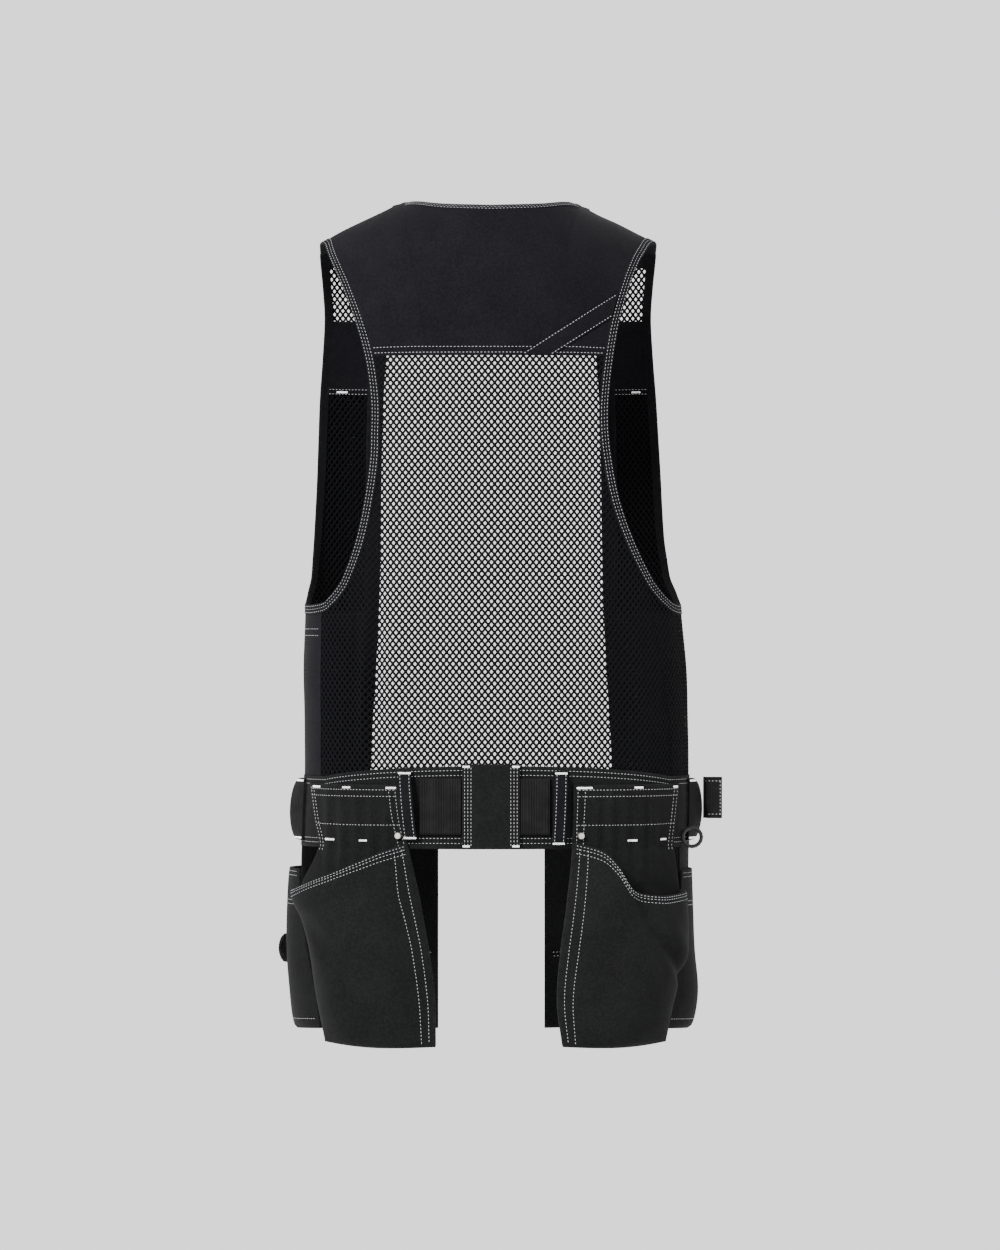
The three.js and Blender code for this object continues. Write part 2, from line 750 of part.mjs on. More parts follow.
// The front end of the shoulder, from the ridge down over its rounded front.
function strapHeight(x, r) {
  const foot = Math.acos(1 - (ridge(x) + strapDrop) / frontRounding) / (Math.PI / 2);
  return frontHeight(x, mix(frontTop, foot, r));
}

function strapPoint(side) {
  const edges = perRow((r) => {
    const level = settle(-strapDrop / 2, (at) => {
      const place = besideEdge(FRONT, side, at, tapeClear);
      return strapHeight(place.x, r) - place.z;
    });
    const outer = besideEdge(FRONT, side, level, tapeClear).x;
    const height = strapHeight(frontEdge(side, 0), r);
    return { inner: besidePlacket(side, height, placketWidth + seamGap * 2), outer };
  });
  return (c, r) => {
    const { inner, outer } = edges(r);
    const x = mix(inner, outer, c);
    return facePoint(FRONT, x, strapHeight(x, r));
  };
}

const chestTop = -chestPanelTop;
const chestBottom = chestTop - chestPanelHeight;
const frontNetBottom = -armholeDrop - tapeClear;

for (const side of [LEFT, RIGHT]) {
  clothSheet(sideName('shoulder_strap', side), yokeCloth, strapPoint(side), shares(5), shares(4));
  const upper = frontSpan(side, -strapDrop - seamGap, chestTop + seamGap / 2, 0);
  netSheet(sideName('front_mesh_upper', side), upper, 5, 3);
  const chest = frontSpan(side, chestTop - seamGap / 2, chestBottom + seamGap / 2, 0);
  clothSheet(sideName('chest_panel', side), yokeCloth, chest, shares(5), shares(4));
  const lower = frontSpan(side, chestBottom - seamGap / 2, frontNetBottom, 0);
  netSheet(sideName('front_mesh', side), lower, 5, 8);
  const pocketFoot = frontNetBottom + chestPocketInset / 2;
  const pocket = frontSpan(side, -chestPocketTop, pocketFoot, chestPocketInset);
  const bulge = (c, r) => netThickness / 2 + layerGap + chestPocketBulge
    * Math.sin(Math.PI * c) ** chestPocketFullness * Math.sqrt(1 - r ** chestPocketTaper);
  sheet(sideName('chest_pocket', side), yokeCloth, pocket, shares(6), shares(8), clothThickness, bulge);
}

// Cloth of the lower fronts, from the side net to the placket
for (const side of [LEFT, RIGHT]) {
  const startAt = (z) => sideEnd(side, z) + side * seamGap / waistDepth;
  const endAt = (z) => turnOf(FRONT, besidePlacket(side, z, placketWidth + seamGap), z);
  const tops = perRow((c) => {
    const turn = mix(startAt(-armholeDrop), endAt(-armholeDrop), c);
    return Math.min(underArm(side, turn), frontNetBottom - seamGap);
  });
  const point = (c, r) => {
    const z = mix(tops(c), waistLine, r);
    return turnPoint(mix(startAt(z), endAt(z), c), z);
  };
  clothSheet(sideName('lower_front', side), yokeCloth, point, shares(12), shares(5));
}

// Belt: one band behind and round the sides, and two in front that meet at the buckle
function bandPoint(from, to) {
  return (c, r) => {
    const turn = mix(from, to, c);
    return turnPoint(turn, mix(beltTop(turn), beltBottom, r));
  };
}

const underBelt = -bandThickness / 2;
const overBelt = bandThickness / 2 + layerGap;
sheet('belt_band', webbing, bandPoint(-beltEnd, beltEnd), shares(36), shares(2), bandThickness, underBelt);
for (const side of [LEFT, RIGHT]) {
  const start = side * (beltEnd + seamGap / waistDepth);
  const end = turnOf(FRONT, side * buckleWidth / 4, -beltDrop);
  const band = bandPoint(start, end);
  sheet(sideName('front_belt', side), webbing, band, shares(14), shares(2), bandThickness, underBelt);
}

// Buckle, one plain block with rounded corners between the two front belts
const buckleShape = new THREE.Shape();
const buckleHalf = buckleWidth / 2 - buckleRound;
const buckleRise = buckleHeight / 2 - buckleRound;
buckleShape.absarc(buckleHalf, buckleRise, buckleRound, 0, Math.PI / 2);
buckleShape.absarc(-buckleHalf, buckleRise, buckleRound, Math.PI / 2, Math.PI);
buckleShape.absarc(-buckleHalf, -buckleRise, buckleRound, Math.PI, Math.PI * 1.5);
buckleShape.absarc(buckleHalf, -buckleRise, buckleRound, Math.PI * 1.5, Math.PI * 2);
const buckleBody = { depth: buckleDepth, bevelEnabled: false, curveSegments: 4 };
const buckle = new THREE.Mesh(new THREE.ExtrudeGeometry(buckleShape, buckleBody), plastic);
buckle.name = 'front_buckle';
const beltMiddle = (beltTop(Math.PI) + beltBottom) / 2;
buckle.rotation.x = Math.PI / 2;
buckle.position.set(0, facePoint(FRONT, 0, beltMiddle).y + overBelt + buckleDepth, beltMiddle);
vest.add(buckle);

// A patch over the belt band behind, between two places across and two heights
function beltPatch(name, from, to, top, bottom, thickness) {
  const point = (c, r) => facePoint(BACK, mix(from, to, c), mix(top, bottom, r));
  sheet(name, webbing, point, shares(4), shares(2), thickness, overBelt);
}

const panelHalf = centrePanelWidth / 2;
const centreTop = beltTop(0) + centrePanelRise;
beltPatch('belt_centre_panel', -panelHalf, panelHalf, centreTop, beltBottom, bandThickness);
const elasticTop = -beltDrop - beltHeight / 2 + elasticHeight / 2 + elasticRise;
const elasticBottom = elasticTop - elasticHeight;
const elasticEnds = { [LEFT]: elasticEndLeft, [RIGHT]: elasticEndRight };
const loopTops = { [LEFT]: 89, [RIGHT]: 73 };
const loopFeet = { [LEFT]: 83, [RIGHT]: 70 };
const loopLowInsets = { [LEFT]: 9, [RIGHT]: 3 };
const loopSeats = { [LEFT]: overBelt + clothThickness + layerGap, [RIGHT]: overBelt };
for (const side of [LEFT, RIGHT]) {
  const inner = side * (panelHalf + seamGap);
  const outer = side * elasticEnds[side];
  const patch = sideName('belt_elastic', side);
  beltPatch(patch, inner, outer, elasticTop, elasticBottom, webbingThickness);
  const loopPoint = (c, r) => {
    const middle = side * mix(loopTops[side], loopFeet[side], r);
    const x = middle + mix(-beltLoopWidth, beltLoopWidth, c) / 2;
    const foot = beltBottom + loopLowInsets[side];
    return facePoint(BACK, x, mix(-beltDrop - beltLoopTopInset, foot, r));
  };
  const arch = (c, r) => loopSeats[side] + beltLoopRise * Math.sin(Math.PI * r) ** archFullness;
  sheet(sideName('belt_loop', side), webbing, loopPoint, shares(1), shares(8), webbingThickness, arch);
}

// Loops of webbing at the belt's sides
const sideLoopTop = -beltDrop - beltDip - sideLoopInset;
for (const side of [LEFT, RIGHT]) {
  const spread = sideLoopWidth / waistHalf / 2;
  const point = (c, r) => {
    const turn = side * sideLoopTurn + mix(-spread, spread, c);
    return turnPoint(turn, mix(sideLoopTop, sideLoopTop - sideLoopHeight, r));
  };
  const arch = (c, r) => overBelt + sideLoopRise * Math.sin(Math.PI * r) ** archFullness;
  sheet(sideName('side_loop', side), webbing, point, shares(3), shares(10), webbingThickness, arch);
}

// Columns of a pouch, closer together towards its side edges.
const pouchColumns = shares(12).map((share) => (1 - Math.cos(Math.PI * share)) / 2);

// Holsters: a board that hangs from over the belt, and a pouch that bulges from it
const holsterTop = -beltDrop - holsterDrop * holsterRows[0].down;
const holsterBottom = -beltDrop - holsterDrop;

function holsterEdge(side, edge, z) {
  const share = readTable(holsterRows, 'down', `${columnOf(side)}${edge}`, (-z - beltDrop) / holsterDrop);
  return side * waistHalf * share;
}

function holsterLift(z) {
  const share = Math.max(0, beltBottom - z) / (beltBottom - holsterBottom);
  return overBelt + holsterSwing * share ** swingFullness;
}

function holsterPoint(side, c, z) {
  const inner = turnOf(BACK, holsterEdge(side, 'Inner', z), z);
  const outer = turnOf(BACK, holsterEdge(side, 'Outer', z), z);
  return turnPoint(mix(inner, outer, c), z);
}

const beltShare = (holsterTop - beltBottom) / (holsterTop - holsterBottom);
const boardRows = [0, beltShare / 2, ...shares(7).map((share) => mix(beltShare, 1, share))];
for (const side of [LEFT, RIGHT]) {
  const board = (c, r) => holsterPoint(side, c, mix(holsterTop, holsterBottom, r));
  const hang = (c, r) => holsterLift(mix(holsterTop, holsterBottom, r));
  const panel = sideName('holster_panel', side);
  sheet(panel, holsterCloth, board, shares(8), boardRows, clothThickness, hang);
  const mouth = (c) => -beltDrop - holsterDrop * readTable(mouthRows, 'across', columnOf(side), c);
  const height = (c, r) => mix(mouth(c), holsterBottom, r);
  const front = (c, r) => holsterPoint(side, c, height(c, r));
  const bulge = (c, r) => {
    const gape = mix(pouchMouthShare, 1, Math.min(1, r / pouchMouthRun));
    const across = Math.sin(Math.PI * c ** pouchSkew) ** pouchFullness;
    const reach = holsterBulge * gape * across * Math.sqrt(1 - r ** pouchTaper);
    return holsterLift(height(c, r)) + clothThickness + layerGap * 1.3 + reach;
  };
  const pouch = sideName('holster_pouch', side);
  sheet(pouch, holsterCloth, front, pouchColumns, shares(10), clothThickness, bulge);
}

// Rivets at the inner top corners of the holsters
for (const side of [LEFT, RIGHT]) {
  const z = -beltDrop - holsterDrop * rivetDown;
  const inner = turnOf(BACK, holsterEdge(side, 'Inner', z), z);
  const outer = turnOf(BACK, holsterEdge(side, 'Outer', z), z);
  const turn = mix(inner, outer, rivetAcross);
  const normal = turnNormal(turn, z);
  const head = new THREE.CylinderGeometry(rivetRadius * rivetTaper, rivetRadius, rivetHeight, 12);
  const rivet = new THREE.Mesh(head, metal);
  rivet.name = sideName('rivet', side);
  rivet.quaternion.setFromUnitVectors(new THREE.Vector3(0, 1, 0), normal);
  const seat = holsterLift(z) + clothThickness + layerGap + rivetHeight / 2;
  rivet.position.copy(turnPoint(turn, z).addScaledVector(normal, seat));
  vest.add(rivet);
}

// Front pockets, hanging from the belt: a back wall and a pouch that bulges from it
const pocketTop = beltBottom - seamGap;
const pocketMouth = beltBottom - frontPocketMouth;

function pocketBottom(c) {
  return -beltDrop - frontPocketDrop - frontPocketSag * c;
}

function pocketShare(z) {
  return (pocketMouth - z) / (pocketMouth - pocketBottom(0));
}

function pocketPoint(side, c, z) {
  const share = readTable(pocketRows, 'down', `${columnOf(side)}Rear`, pocketShare(z));
  const rear = turnOf(BACK, side * waistHalf * share, z);
  const fore = turnOf(FRONT, side * frontPocketInner, z);
  return turnPoint(mix(rear, fore, c), z);
}

function pocketLift(side, c, r) {
  const sideReach = frontPocketBulge * readTable(pocketRows, 'down', `${columnOf(side)}Bulge`, r);
  const ends = Math.min(1, c / frontPocketRearRun, (1 - c) / frontPocketInnerRun);
  const turned = Math.min(1, Math.max(0, (c - frontPocketTurnStart) / frontPocketTurnRun));
  const reach = mix(sideReach, frontPocketBulge, turned * turned * (3 - 2 * turned));
  const round = Math.sin(ends * Math.PI / 2) * Math.sqrt(1 - r ** frontPocketTaper);
  return clothThickness / 2 + layerGap + reach * round;
}

for (const side of [LEFT, RIGHT]) {
  const wall = (c, r) => pocketPoint(side, c, mix(pocketTop, pocketBottom(c), r));
  clothSheet(sideName('front_pocket_panel', side), holsterCloth, wall, shares(14), shares(4));
  const pouch = (c, r) => pocketPoint(side, c, mix(pocketMouth, pocketBottom(c), r));
  const lift = (c, r) => pocketLift(side, c, r);
  sheet(sideName('front_pouch', side), holsterCloth, pouch, shares(18), shares(7), clothThickness, lift);
}

// A webbing tab for a tool on the left pocket's side
const tabLong = toolTabHeight / (pocketMouth - pocketBottom(toolTabAcross));

function tabPoint(c, r) {
  const across = toolTabAcross + mix(-toolTabHalf, toolTabHalf, c);
  const z = mix(pocketMouth, pocketBottom(across), toolTabDown + tabLong * r);
  return pocketPoint(LEFT, across, z);
}

function tabLift(c, r) {
  const seat = pocketLift(LEFT, toolTabAcross, toolTabDown + tabLong * r);
  return seat + clothThickness + layerGap + toolTabRise * Math.sin(Math.PI * r) ** archFullness;
}

sheet('tool_tab_left', webbing, tabPoint, shares(2), shares(6), webbingThickness, tabLift);

// Strap end beside the right side loop, and the ring that hangs behind it
const strapBody = new THREE.BoxGeometry(strapEndWidth, strapEndThickness, strapEndLength);
const strapEnd = new THREE.Mesh(strapBody, webbing);
strapEnd.name = 'strap_end_right';
const loopMiddle = turnPoint(sideLoopTurn, sideLoopTop - sideLoopHeight / 2);
const loopFace = loopMiddle.x + overBelt + sideLoopRise + webbingThickness;
const strapMiddle = loopFace + layerGap + strapEndWidth / 2;
strapEnd.position.set(strapMiddle, loopMiddle.y, loopMiddle.z + strapEndLift);
vest.add(strapEnd);

const ringPlace = turnPoint(ringTurn, beltBottom + dRingRadius);
const dRing = new THREE.Mesh(new THREE.TorusGeometry(dRingRadius, dRingWire, 6, 16), plastic);
dRing.name = 'd_ring_right';
dRing.rotation.x = Math.PI / 2;
const ringOut = dRingRadius + dRingWire + bandThickness;
dRing.position.set(ringPlace.x + ringOut, ringPlace.y, ringPlace.z);
vest.add(dRing);

export default vest;
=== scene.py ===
"""Looks of a black utility work vest, seen from behind.

Every cloth wall is a surface of two shares, worked out in millimetres on the same body form as the
solids and written in metres. The nets are real openwork, and the stitches are short threads.
"""

import logging
import math
from collections.abc import Callable
from dataclasses import dataclass, field
from enum import Enum

import bpy
import numpy as np
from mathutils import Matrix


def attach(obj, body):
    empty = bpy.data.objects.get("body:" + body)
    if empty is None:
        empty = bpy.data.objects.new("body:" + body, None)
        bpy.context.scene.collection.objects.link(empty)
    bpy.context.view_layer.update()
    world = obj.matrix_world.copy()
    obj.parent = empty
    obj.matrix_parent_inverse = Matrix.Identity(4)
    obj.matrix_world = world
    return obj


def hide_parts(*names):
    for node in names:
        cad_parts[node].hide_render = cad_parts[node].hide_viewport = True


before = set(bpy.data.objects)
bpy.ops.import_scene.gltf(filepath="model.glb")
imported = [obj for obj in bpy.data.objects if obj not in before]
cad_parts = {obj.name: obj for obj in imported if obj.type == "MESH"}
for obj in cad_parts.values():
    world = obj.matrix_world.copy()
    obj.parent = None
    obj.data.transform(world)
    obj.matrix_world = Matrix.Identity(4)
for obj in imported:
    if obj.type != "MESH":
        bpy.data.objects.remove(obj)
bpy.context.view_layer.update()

logging.basicConfig(level=logging.INFO, format="%(relativeCreated)6.0f ms %(message)s")
log = logging.getLogger("vest")

Array = np.ndarray
Surface = Callable[[Array, Array], Array]
Height = Callable[[Array, Array], Array]
METRES = 0.001

# Sizes of the solids, in millimetres
CLOTH, NET, BAND, WEBBING = 1.5, 1.2, 2.6, 2.0
BINDING_WIDTH, BINDING = 10.5, 2.6
NECK_BINDING = 7.0
SEAM_GAP, LAYER_GAP = 0.8, 0.7
NECK_HALF, NECK_DEPTH, NECK_LEAN = 90.0, 72.0, math.radians(48)
SHOULDER_HALF, SHOULDER_DROP = 176.0, 42.0
YOKE_DROP, ARMHOLE_DROP = 168.0, 432.0
FRONT_ROUNDING, ROUNDED_SHARE, SQUARENESS = 96.0, 0.8, 2.3
WAIST_HALF, WAIST_DEPTH = 205.0, 127.0
BELT_DROP, BELT_DIP, BELT_HEIGHT = 599.0, 12.0, 87.0
BELT_BOTTOM = -BELT_DROP - BELT_HEIGHT
BELT_END = math.radians(100)
SIDE_NET_REACH = 0.875
OVER_BELT = BAND / 2 + LAYER_GAP
HOLSTER_DROP, HOLSTER_BULGE, HOLSTER_SWING = 293.0, 32.0, 14.0
HOLSTER_BOTTOM = -BELT_DROP - HOLSTER_DROP
PLACKET = 18.0
STRAP_DROP = 66.0
CHEST_TOP, CHEST_BOTTOM = -122.0, -198.0
TAPE_CLEAR = BINDING_WIDTH / 2 + SEAM_GAP
FRONT_NET_BOTTOM = -ARMHOLE_DROP - TAPE_CLEAR
WAIST_LINE = -BELT_DROP - BELT_DIP + SEAM_GAP
SIDE_LOOP_TURN = math.radians(84)
POCKET_MOUTH = BELT_BOTTOM - 25.0
POCKET_DROP, POCKET_SLOPE, POCKET_FRONT, POCKET_FULLNESS = 278.0, 14.0, 58.0, 28.0
TUCK = 3
UNDER_ARM = -ARMHOLE_DROP * 1.006
STRIP_SLOPE, STRIP_STARTS = math.tan(math.radians(33)), (31.0, 64.0)
NECK_TURN = math.radians(84)
BACK_NET_MIDDLE, SIDE_NET_MIDDLE, FRONT_NET_MIDDLE = -420.0, -520.0, -300.0
ELASTIC_INNER, ELASTIC_TOP, ELASTIC_FOOT, RIB_PITCH = 30.8, -612.0, -671.0, 2.9
LOOP_HALF, LOOP_STAND = 6.5, 6.0
SIDE_LOOP_WIDTH, SIDE_LOOP_HEIGHT = 30.0, 66.0
STRAP_END_X, STRAP_END_Y, STRAP_END_Z = (226.0, 246.0), -16.0, (-613.0, -657.0)
BUCKLE_WIDE, BUCKLE_HIGH, BUCKLE_THICK = 31, 30, 6.5
CHEST_POCKET_BULGE = 12.0
TAB_MIDDLE, TAB_HALF, TAB_DOWN, TAB_LENGTH, TAB_STAND = 0.31, 0.055, 0.42, 30.0, 7.0
FLOOR_Z = -1420.0

# Steps of the solver, rows kept of a worked-out line, and the least share of its lattice's span that
# a net's area is reckoned at
SETTLE_STEPS, SETTLE_SHARE = 20, 0.6
KEPT_ROWS = 600
LEAST_AREA = 0.31

# A stitch's half width, its height and how far it stands off, in millimetres, and its vertices
STITCH_HALF, STITCH_RISE, STITCH_OFF, STITCH_POINTS = 0.33, 0.34, 0.1, 14


class Face(Enum):
    """Behind or in front."""

    BACK = -1
    FRONT = 1


class Side(Enum):
    """The vest's left or right as the camera sees it."""

    LEFT = -1
    RIGHT = 1

    @property
    def label(self) -> str:
        """The side's word in node names."""
        return self.name.lower()


SIDES = (Side.LEFT, Side.RIGHT)
CORNER_REACH = {Side.LEFT: 4.0, Side.RIGHT: 9.0}
ELASTIC_OUTER = {Side.LEFT: 74.0, Side.RIGHT: 61.0}
LOOP_TOPS = {Side.LEFT: 89.0, Side.RIGHT: 73.0}
LOOP_FEET = {Side.LEFT: 83.0, Side.RIGHT: 70.0}


@dataclass(frozen=True)
class Table:
    """A smooth run through rows of values, on cubic pieces with their neighbours' slopes."""

    at: tuple[float, ...]
    value: tuple[float, ...]

    def __call__(self, place: Array) -> Array:
        """Reads the table.

        Args:
            place: where to read it; the ends hold beyond the rows.

        Returns:
            The value at each place.
        """
        keys, values = np.array(self.at), np.array(self.value)
        x = np.clip(place, keys[0], keys[-1])
        i = np.clip(np.searchsorted(keys, x) - 1, 0, len(keys) - 2)
        order = np.arange(len(keys))
        low, high = np.maximum(order - 1, 0), np.minimum(order + 1, len(keys) - 1)
        slope = (values[high] - values[low]) / (keys[high] - keys[low])
        span = keys[i + 1] - keys[i]
        t = (x - keys[i]) / span
        rest = 1 - t
        ends = values[i] * (1 + 2 * t) * rest**2 + values[i + 1] * (3 - 2 * t) * t**2
        return ends + span * t * rest * (slope[i] * rest - slope[i + 1] * t)


FORM_AT = (0.0, 0.35, 0.5, 0.62, 0.72, 0.84, 1.0, 1.15, 1.55)
FORM_BACK = Table(FORM_AT, (0.91, 0.91, 0.93, 0.955, 0.975, 0.993, 1.0, 1.005, 1.005))
FORM_FRONT = Table(FORM_AT, (1.1, 1.1, 1.065, 1.005, 0.975, 0.993, 1.0, 1.005, 1.005))
FORM_DEPTH = Table(FORM_AT, (0.88, 0.9, 0.935, 0.96, 0.975, 0.99, 1.0, 1.01, 1.03))
FORM_SHIFT = Table(FORM_AT, (-0.015, -0.015, -0.01, -0.003, 0.01, 0.022, 0.03, 0.02, 0.005))
RIDGE_AT = (0.0, 0.3, 0.48, 0.56, 0.66, 0.78, 0.9, 1.0, 1.2)
RIDGE_LEFT = Table(RIDGE_AT, (0.13, 0.09, 0.0, 0.06, 0.25, 0.48, 0.73, 0.97, 1.45))
RIDGE_RIGHT = Table(RIDGE_AT, (0.13, 0.09, 0.02, 0.13, 0.35, 0.58, 0.83, 1.04, 1.5))
BACK_AT = (0.1, 0.145, 0.206, 0.303, 0.4, 0.498, 0.571, 0.644, 0.741, 0.838, 0.935, 0.976, 1.0)
BACK_LEFT = (0.985, 0.943, 0.877, 0.787, 0.722, 0.692, 0.692, 0.698, 0.731, 0.782, 0.868, 0.937, 1.0)
BACK_RIGHT = (0.94, 0.872, 0.812, 0.743, 0.702, 0.677, 0.677, 0.697, 0.744, 0.828, 0.945, 1.02, 1.085)
FRONT_AT = (0.1, 0.13, 0.28, 0.481, 0.681, 0.831, 0.932)
EDGE_ROWS = {
    (Face.BACK, Side.LEFT): Table(BACK_AT, BACK_LEFT),
    (Face.BACK, Side.RIGHT): Table(BACK_AT, BACK_RIGHT),
    (Face.FRONT, Side.LEFT): Table(FRONT_AT, (1.012, 1.02, 0.999, 1.028, 1.046, 1.066, 1.085)),
    (Face.FRONT, Side.RIGHT): Table(FRONT_AT, (0.976, 0.98, 0.956, 0.988, 1.018, 1.04, 1.08)),
}
OPENING = Table((0.0, 0.1, 0.28, 0.72, 1.0), (0.43, 0.468, 0.56, 0.595, 0.64))
SEAM_AT = (0.64, 0.78, 0.9, 1.0)
SEAMS = {
    Side.LEFT: Table(SEAM_AT, (0.697, 0.707, 0.742, 0.758)),
    Side.RIGHT: Table(SEAM_AT, (0.8, 0.85, 0.912, 0.927)),
}
HOLSTER_AT = (0.068, 0.194, 0.302, 0.456, 0.56, 0.66, 0.84, 1.0)
HOLSTER_EDGES = {
    Side.LEFT: (
        Table(HOLSTER_AT, (0.47, 0.45, 0.415, 0.36, 0.332, 0.305, 0.275, 0.27)),
        Table(HOLSTER_AT, (0.925, 0.9, 0.875, 0.945, 0.895, 0.86, 0.825, 0.79)),
    ),
    Side.RIGHT: (
        Table(HOLSTER_AT, (0.42, 0.415, 0.41, 0.385, 0.365, 0.345, 0.325, 0.35)),
        Table(HOLSTER_AT, (0.96, 0.94, 0.925, 0.935, 0.935, 0.925, 0.87, 0.83)),
    ),
}
MOUTH_AT = (0.0, 0.2, 0.3, 0.4, 0.58, 0.8, 1.0)
MOUTHS = {
    Side.LEFT: Table(MOUTH_AT, (0.276, 0.307, 0.328, 0.351, 0.395, 0.44, 0.455)),
    Side.RIGHT: Table(MOUTH_AT, (0.272, 0.304, 0.356, 0.437, 0.462, 0.456, 0.45)),
}
POCKET_AT = (0.0, 0.3, 0.54, 0.77, 1.0)
POCKET_REARS = {
    Side.LEFT: Table(POCKET_AT, (0.985, 0.97, 0.935, 0.895, 0.87)),
    Side.RIGHT: Table(POCKET_AT, (0.97, 0.965, 0.95, 0.91, 0.87)),
}
POCKET_BULGES = {
    Side.LEFT: Table(POCKET_AT, (0.54, 0.5, 0.45, 0.38, 0.38)),
    Side.RIGHT: Table(POCKET_AT, (0.06, 0.15, 0.25, 0.45, 0.5)),
}


def mix(a: Array, b: Array, t: Array) -> Array:
    """The value a share t of the way from a to b."""
    return a + (b - a) * t


def unit(vectors: Array) -> Array:
    """The vectors at length one."""
    return vectors / np.maximum(np.linalg.norm(vectors, axis=-1, keepdims=True), 1e-9)


def settle(start: Array, miss: Callable[[Array], Array]) -> Array:
    """Nears the value at which miss is nothing.

    Args:
        start: the first guess.
        miss: what is missing at a value.

    Returns:
        The settled values.
    """
    value = start
    for _ in range(SETTLE_STEPS):
        value = value + SETTLE_SHARE * miss(value)
    return value


def ridge(x: Array) -> Array:
    """Height of the neck edge or shoulder ridge above a place across."""
    across = np.abs(x) / SHOULDER_HALF
    return -SHOULDER_DROP * np.where(x < 0, RIDGE_LEFT(across), RIDGE_RIGHT(across))


def section(face: Face, z: Array) -> tuple[Array, Array, Array]:
    """Half width, depth and sideways shift of the form at a height.

    Args:
        face: behind or in front.
        z: heights.

    Returns:
        The half width, the depth and the shift.
    """
    down = -z / BELT_DROP
    half = (FORM_BACK if face is Face.BACK else FORM_FRONT)(down)
    return WAIST_HALF * half, WAIST_DEPTH * FORM_DEPTH(down), WAIST_HALF * FORM_SHIFT(down)


def face_point(face: Face, x: Array, z: Array) -> Array:
    """Points of the form by place across and height.

    The section is a squared ellipse. Near the top the surface turns over to the neck edge or
    ridge, on a quarter of an ellipse that leans where the neck is.

    Args:
        face: behind or in front.
        x: places across.
        z: heights.

    Returns:
        The points.
    """
    x, z = np.broadcast_arrays(np.asarray(x, float), np.asarray(z, float))
    half, depth, shift = section(face, z)
    out = np.minimum(1, np.abs(x - shift) / half)
    full = depth * (1 - out**SQUARENESS) ** (1 / SQUARENESS)
    behind = face is Face.BACK
    neck = np.sqrt(np.maximum(0, 1 - (x / NECK_HALF) ** 2)) * behind
    lean = NECK_LEAN * neck
    height = ROUNDED_SHARE * (ridge(x) + YOKE_DROP) if behind else FRONT_ROUNDING
    fall = np.clip(np.cos(lean) * (1 - (ridge(x) - z) / height), 0, 1)
    share = (np.sqrt(1 - fall**2) - np.sin(lean)) / (1 - np.sin(lean))
    start = NECK_DEPTH * neck
    return np.stack([x, face.value * (start + (full - start) * share), z], axis=-1)


def turn_point(turn: Array, z: Array) -> Array:
    """Points of the form by their turn from the centre back and their height.

    Args:
        turn: angles, positive towards +X.
        z: heights.

    Returns:
        The points.
    """
    turn, z = np.broadcast_arrays(np.asarray(turn, float), np.asarray(z, float))
    behind = np.cos(turn) >= 0
    back, depth, shift = section(Face.BACK, z)
    half = np.where(behind, back, section(Face.FRONT, z)[0])
    power = 2 / SQUARENESS
    x = shift + np.sign(turn) * half * np.abs(np.sin(turn)) ** power
    y = np.where(behind, -1, 1) * depth * np.abs(np.cos(turn)) ** power
    return np.stack([x, y, z], axis=-1)


def turn_of(face: Face, x: Array, z: Array) -> Array:
    """The turn at which the form is x across.

    Args:
        face: behind or in front.
        x: places across.
        z: heights.

    Returns:
        The angles.
    """
    half, _, shift = section(face, z)
    turn = np.arcsin(np.minimum(1, np.abs(x - shift) / half) ** (SQUARENESS / 2))
    return np.sign(x) * (turn if face is Face.BACK else math.pi - turn)


def top_point(x: Array, depth: Array) -> Array:
    """Points of the rounded top behind, by place across and depth.

    Args:
        x: places across.
        depth: distances behind the ridge.

    Returns:
        The points.
    """
    neck = np.sqrt(np.maximum(0, 1 - (x / NECK_HALF) ** 2))
    lean, start = NECK_LEAN * neck, NECK_DEPTH * neck
    full = -face_point(Face.BACK, x, np.full_like(x, -YOKE_DROP))[..., 1]
    rise = mix(np.sin(lean), 1, np.maximum(0, (depth - start) / (full - start)))
    height = ROUNDED_SHARE * (ridge(x) + YOKE_DROP)
    return face_point(Face.BACK, x, ridge(x) - height * (1 - np.sqrt(1 - rise**2) / np.cos(lean)))


def form_normal(face: Face, x: Array, z: Array) -> Array:
    """Outward normals of the form, from two short steps along it.

    Args:
        face: behind or in front.
        x: places across.
        z: heights.

    Returns:
        The normals.
    """
    step = 0.05
    across = face_point(face, x + step, z) - face_point(face, x - step, z)
    up = face_point(face, x, z + step) - face_point(face, x, z - step)
    return -face.value * unit(np.cross(across, up))


def edge_x(face: Face, side: Side, z: Array) -> Array:
    """Place across of the armhole tape's centre line at a height."""
    return side.value * SHOULDER_HALF * EDGE_ROWS[face, side](-z / ARMHOLE_DROP)


def edge_point(face: Face, side: Side, z: Array) -> Array:
    """The armhole edge's points on the form, kept below the ridge."""
    x = edge_x(face, side, z)
    return face_point(face, x, np.minimum(z, ridge(x)))


def beside_edge(face: Face, side: Side, z: Array, distance: float) -> Array:
    """Points in the cloth at a distance from the armhole tape's centre line.

    Args:
        face: behind or in front.
        side: left or right.
        z: heights along the tape.
        distance: how far towards the body's middle.

    Returns:
        The points.
    """
    level = np.minimum(z, ridge(edge_x(face, side, z)) - 2)
    place = edge_point(face, side, level)
    along = edge_point(face, side, level + 1) - edge_point(face, side, level - 1)
    across = unit(np.cross(form_normal(face, place[..., 0], place[..., 2]), along))
    return place + across * distance * -np.sign(across[..., :1] * side.value)


def beside_at(face: Face, side: Side, z: Array, distance: float) -> Array:
    """Place across beside the armhole tape, at a height of its own."""
    level = settle(z, lambda at: z - beside_edge(face, side, at, distance)[..., 2])
    return beside_edge(face, side, level, distance)[..., 0]


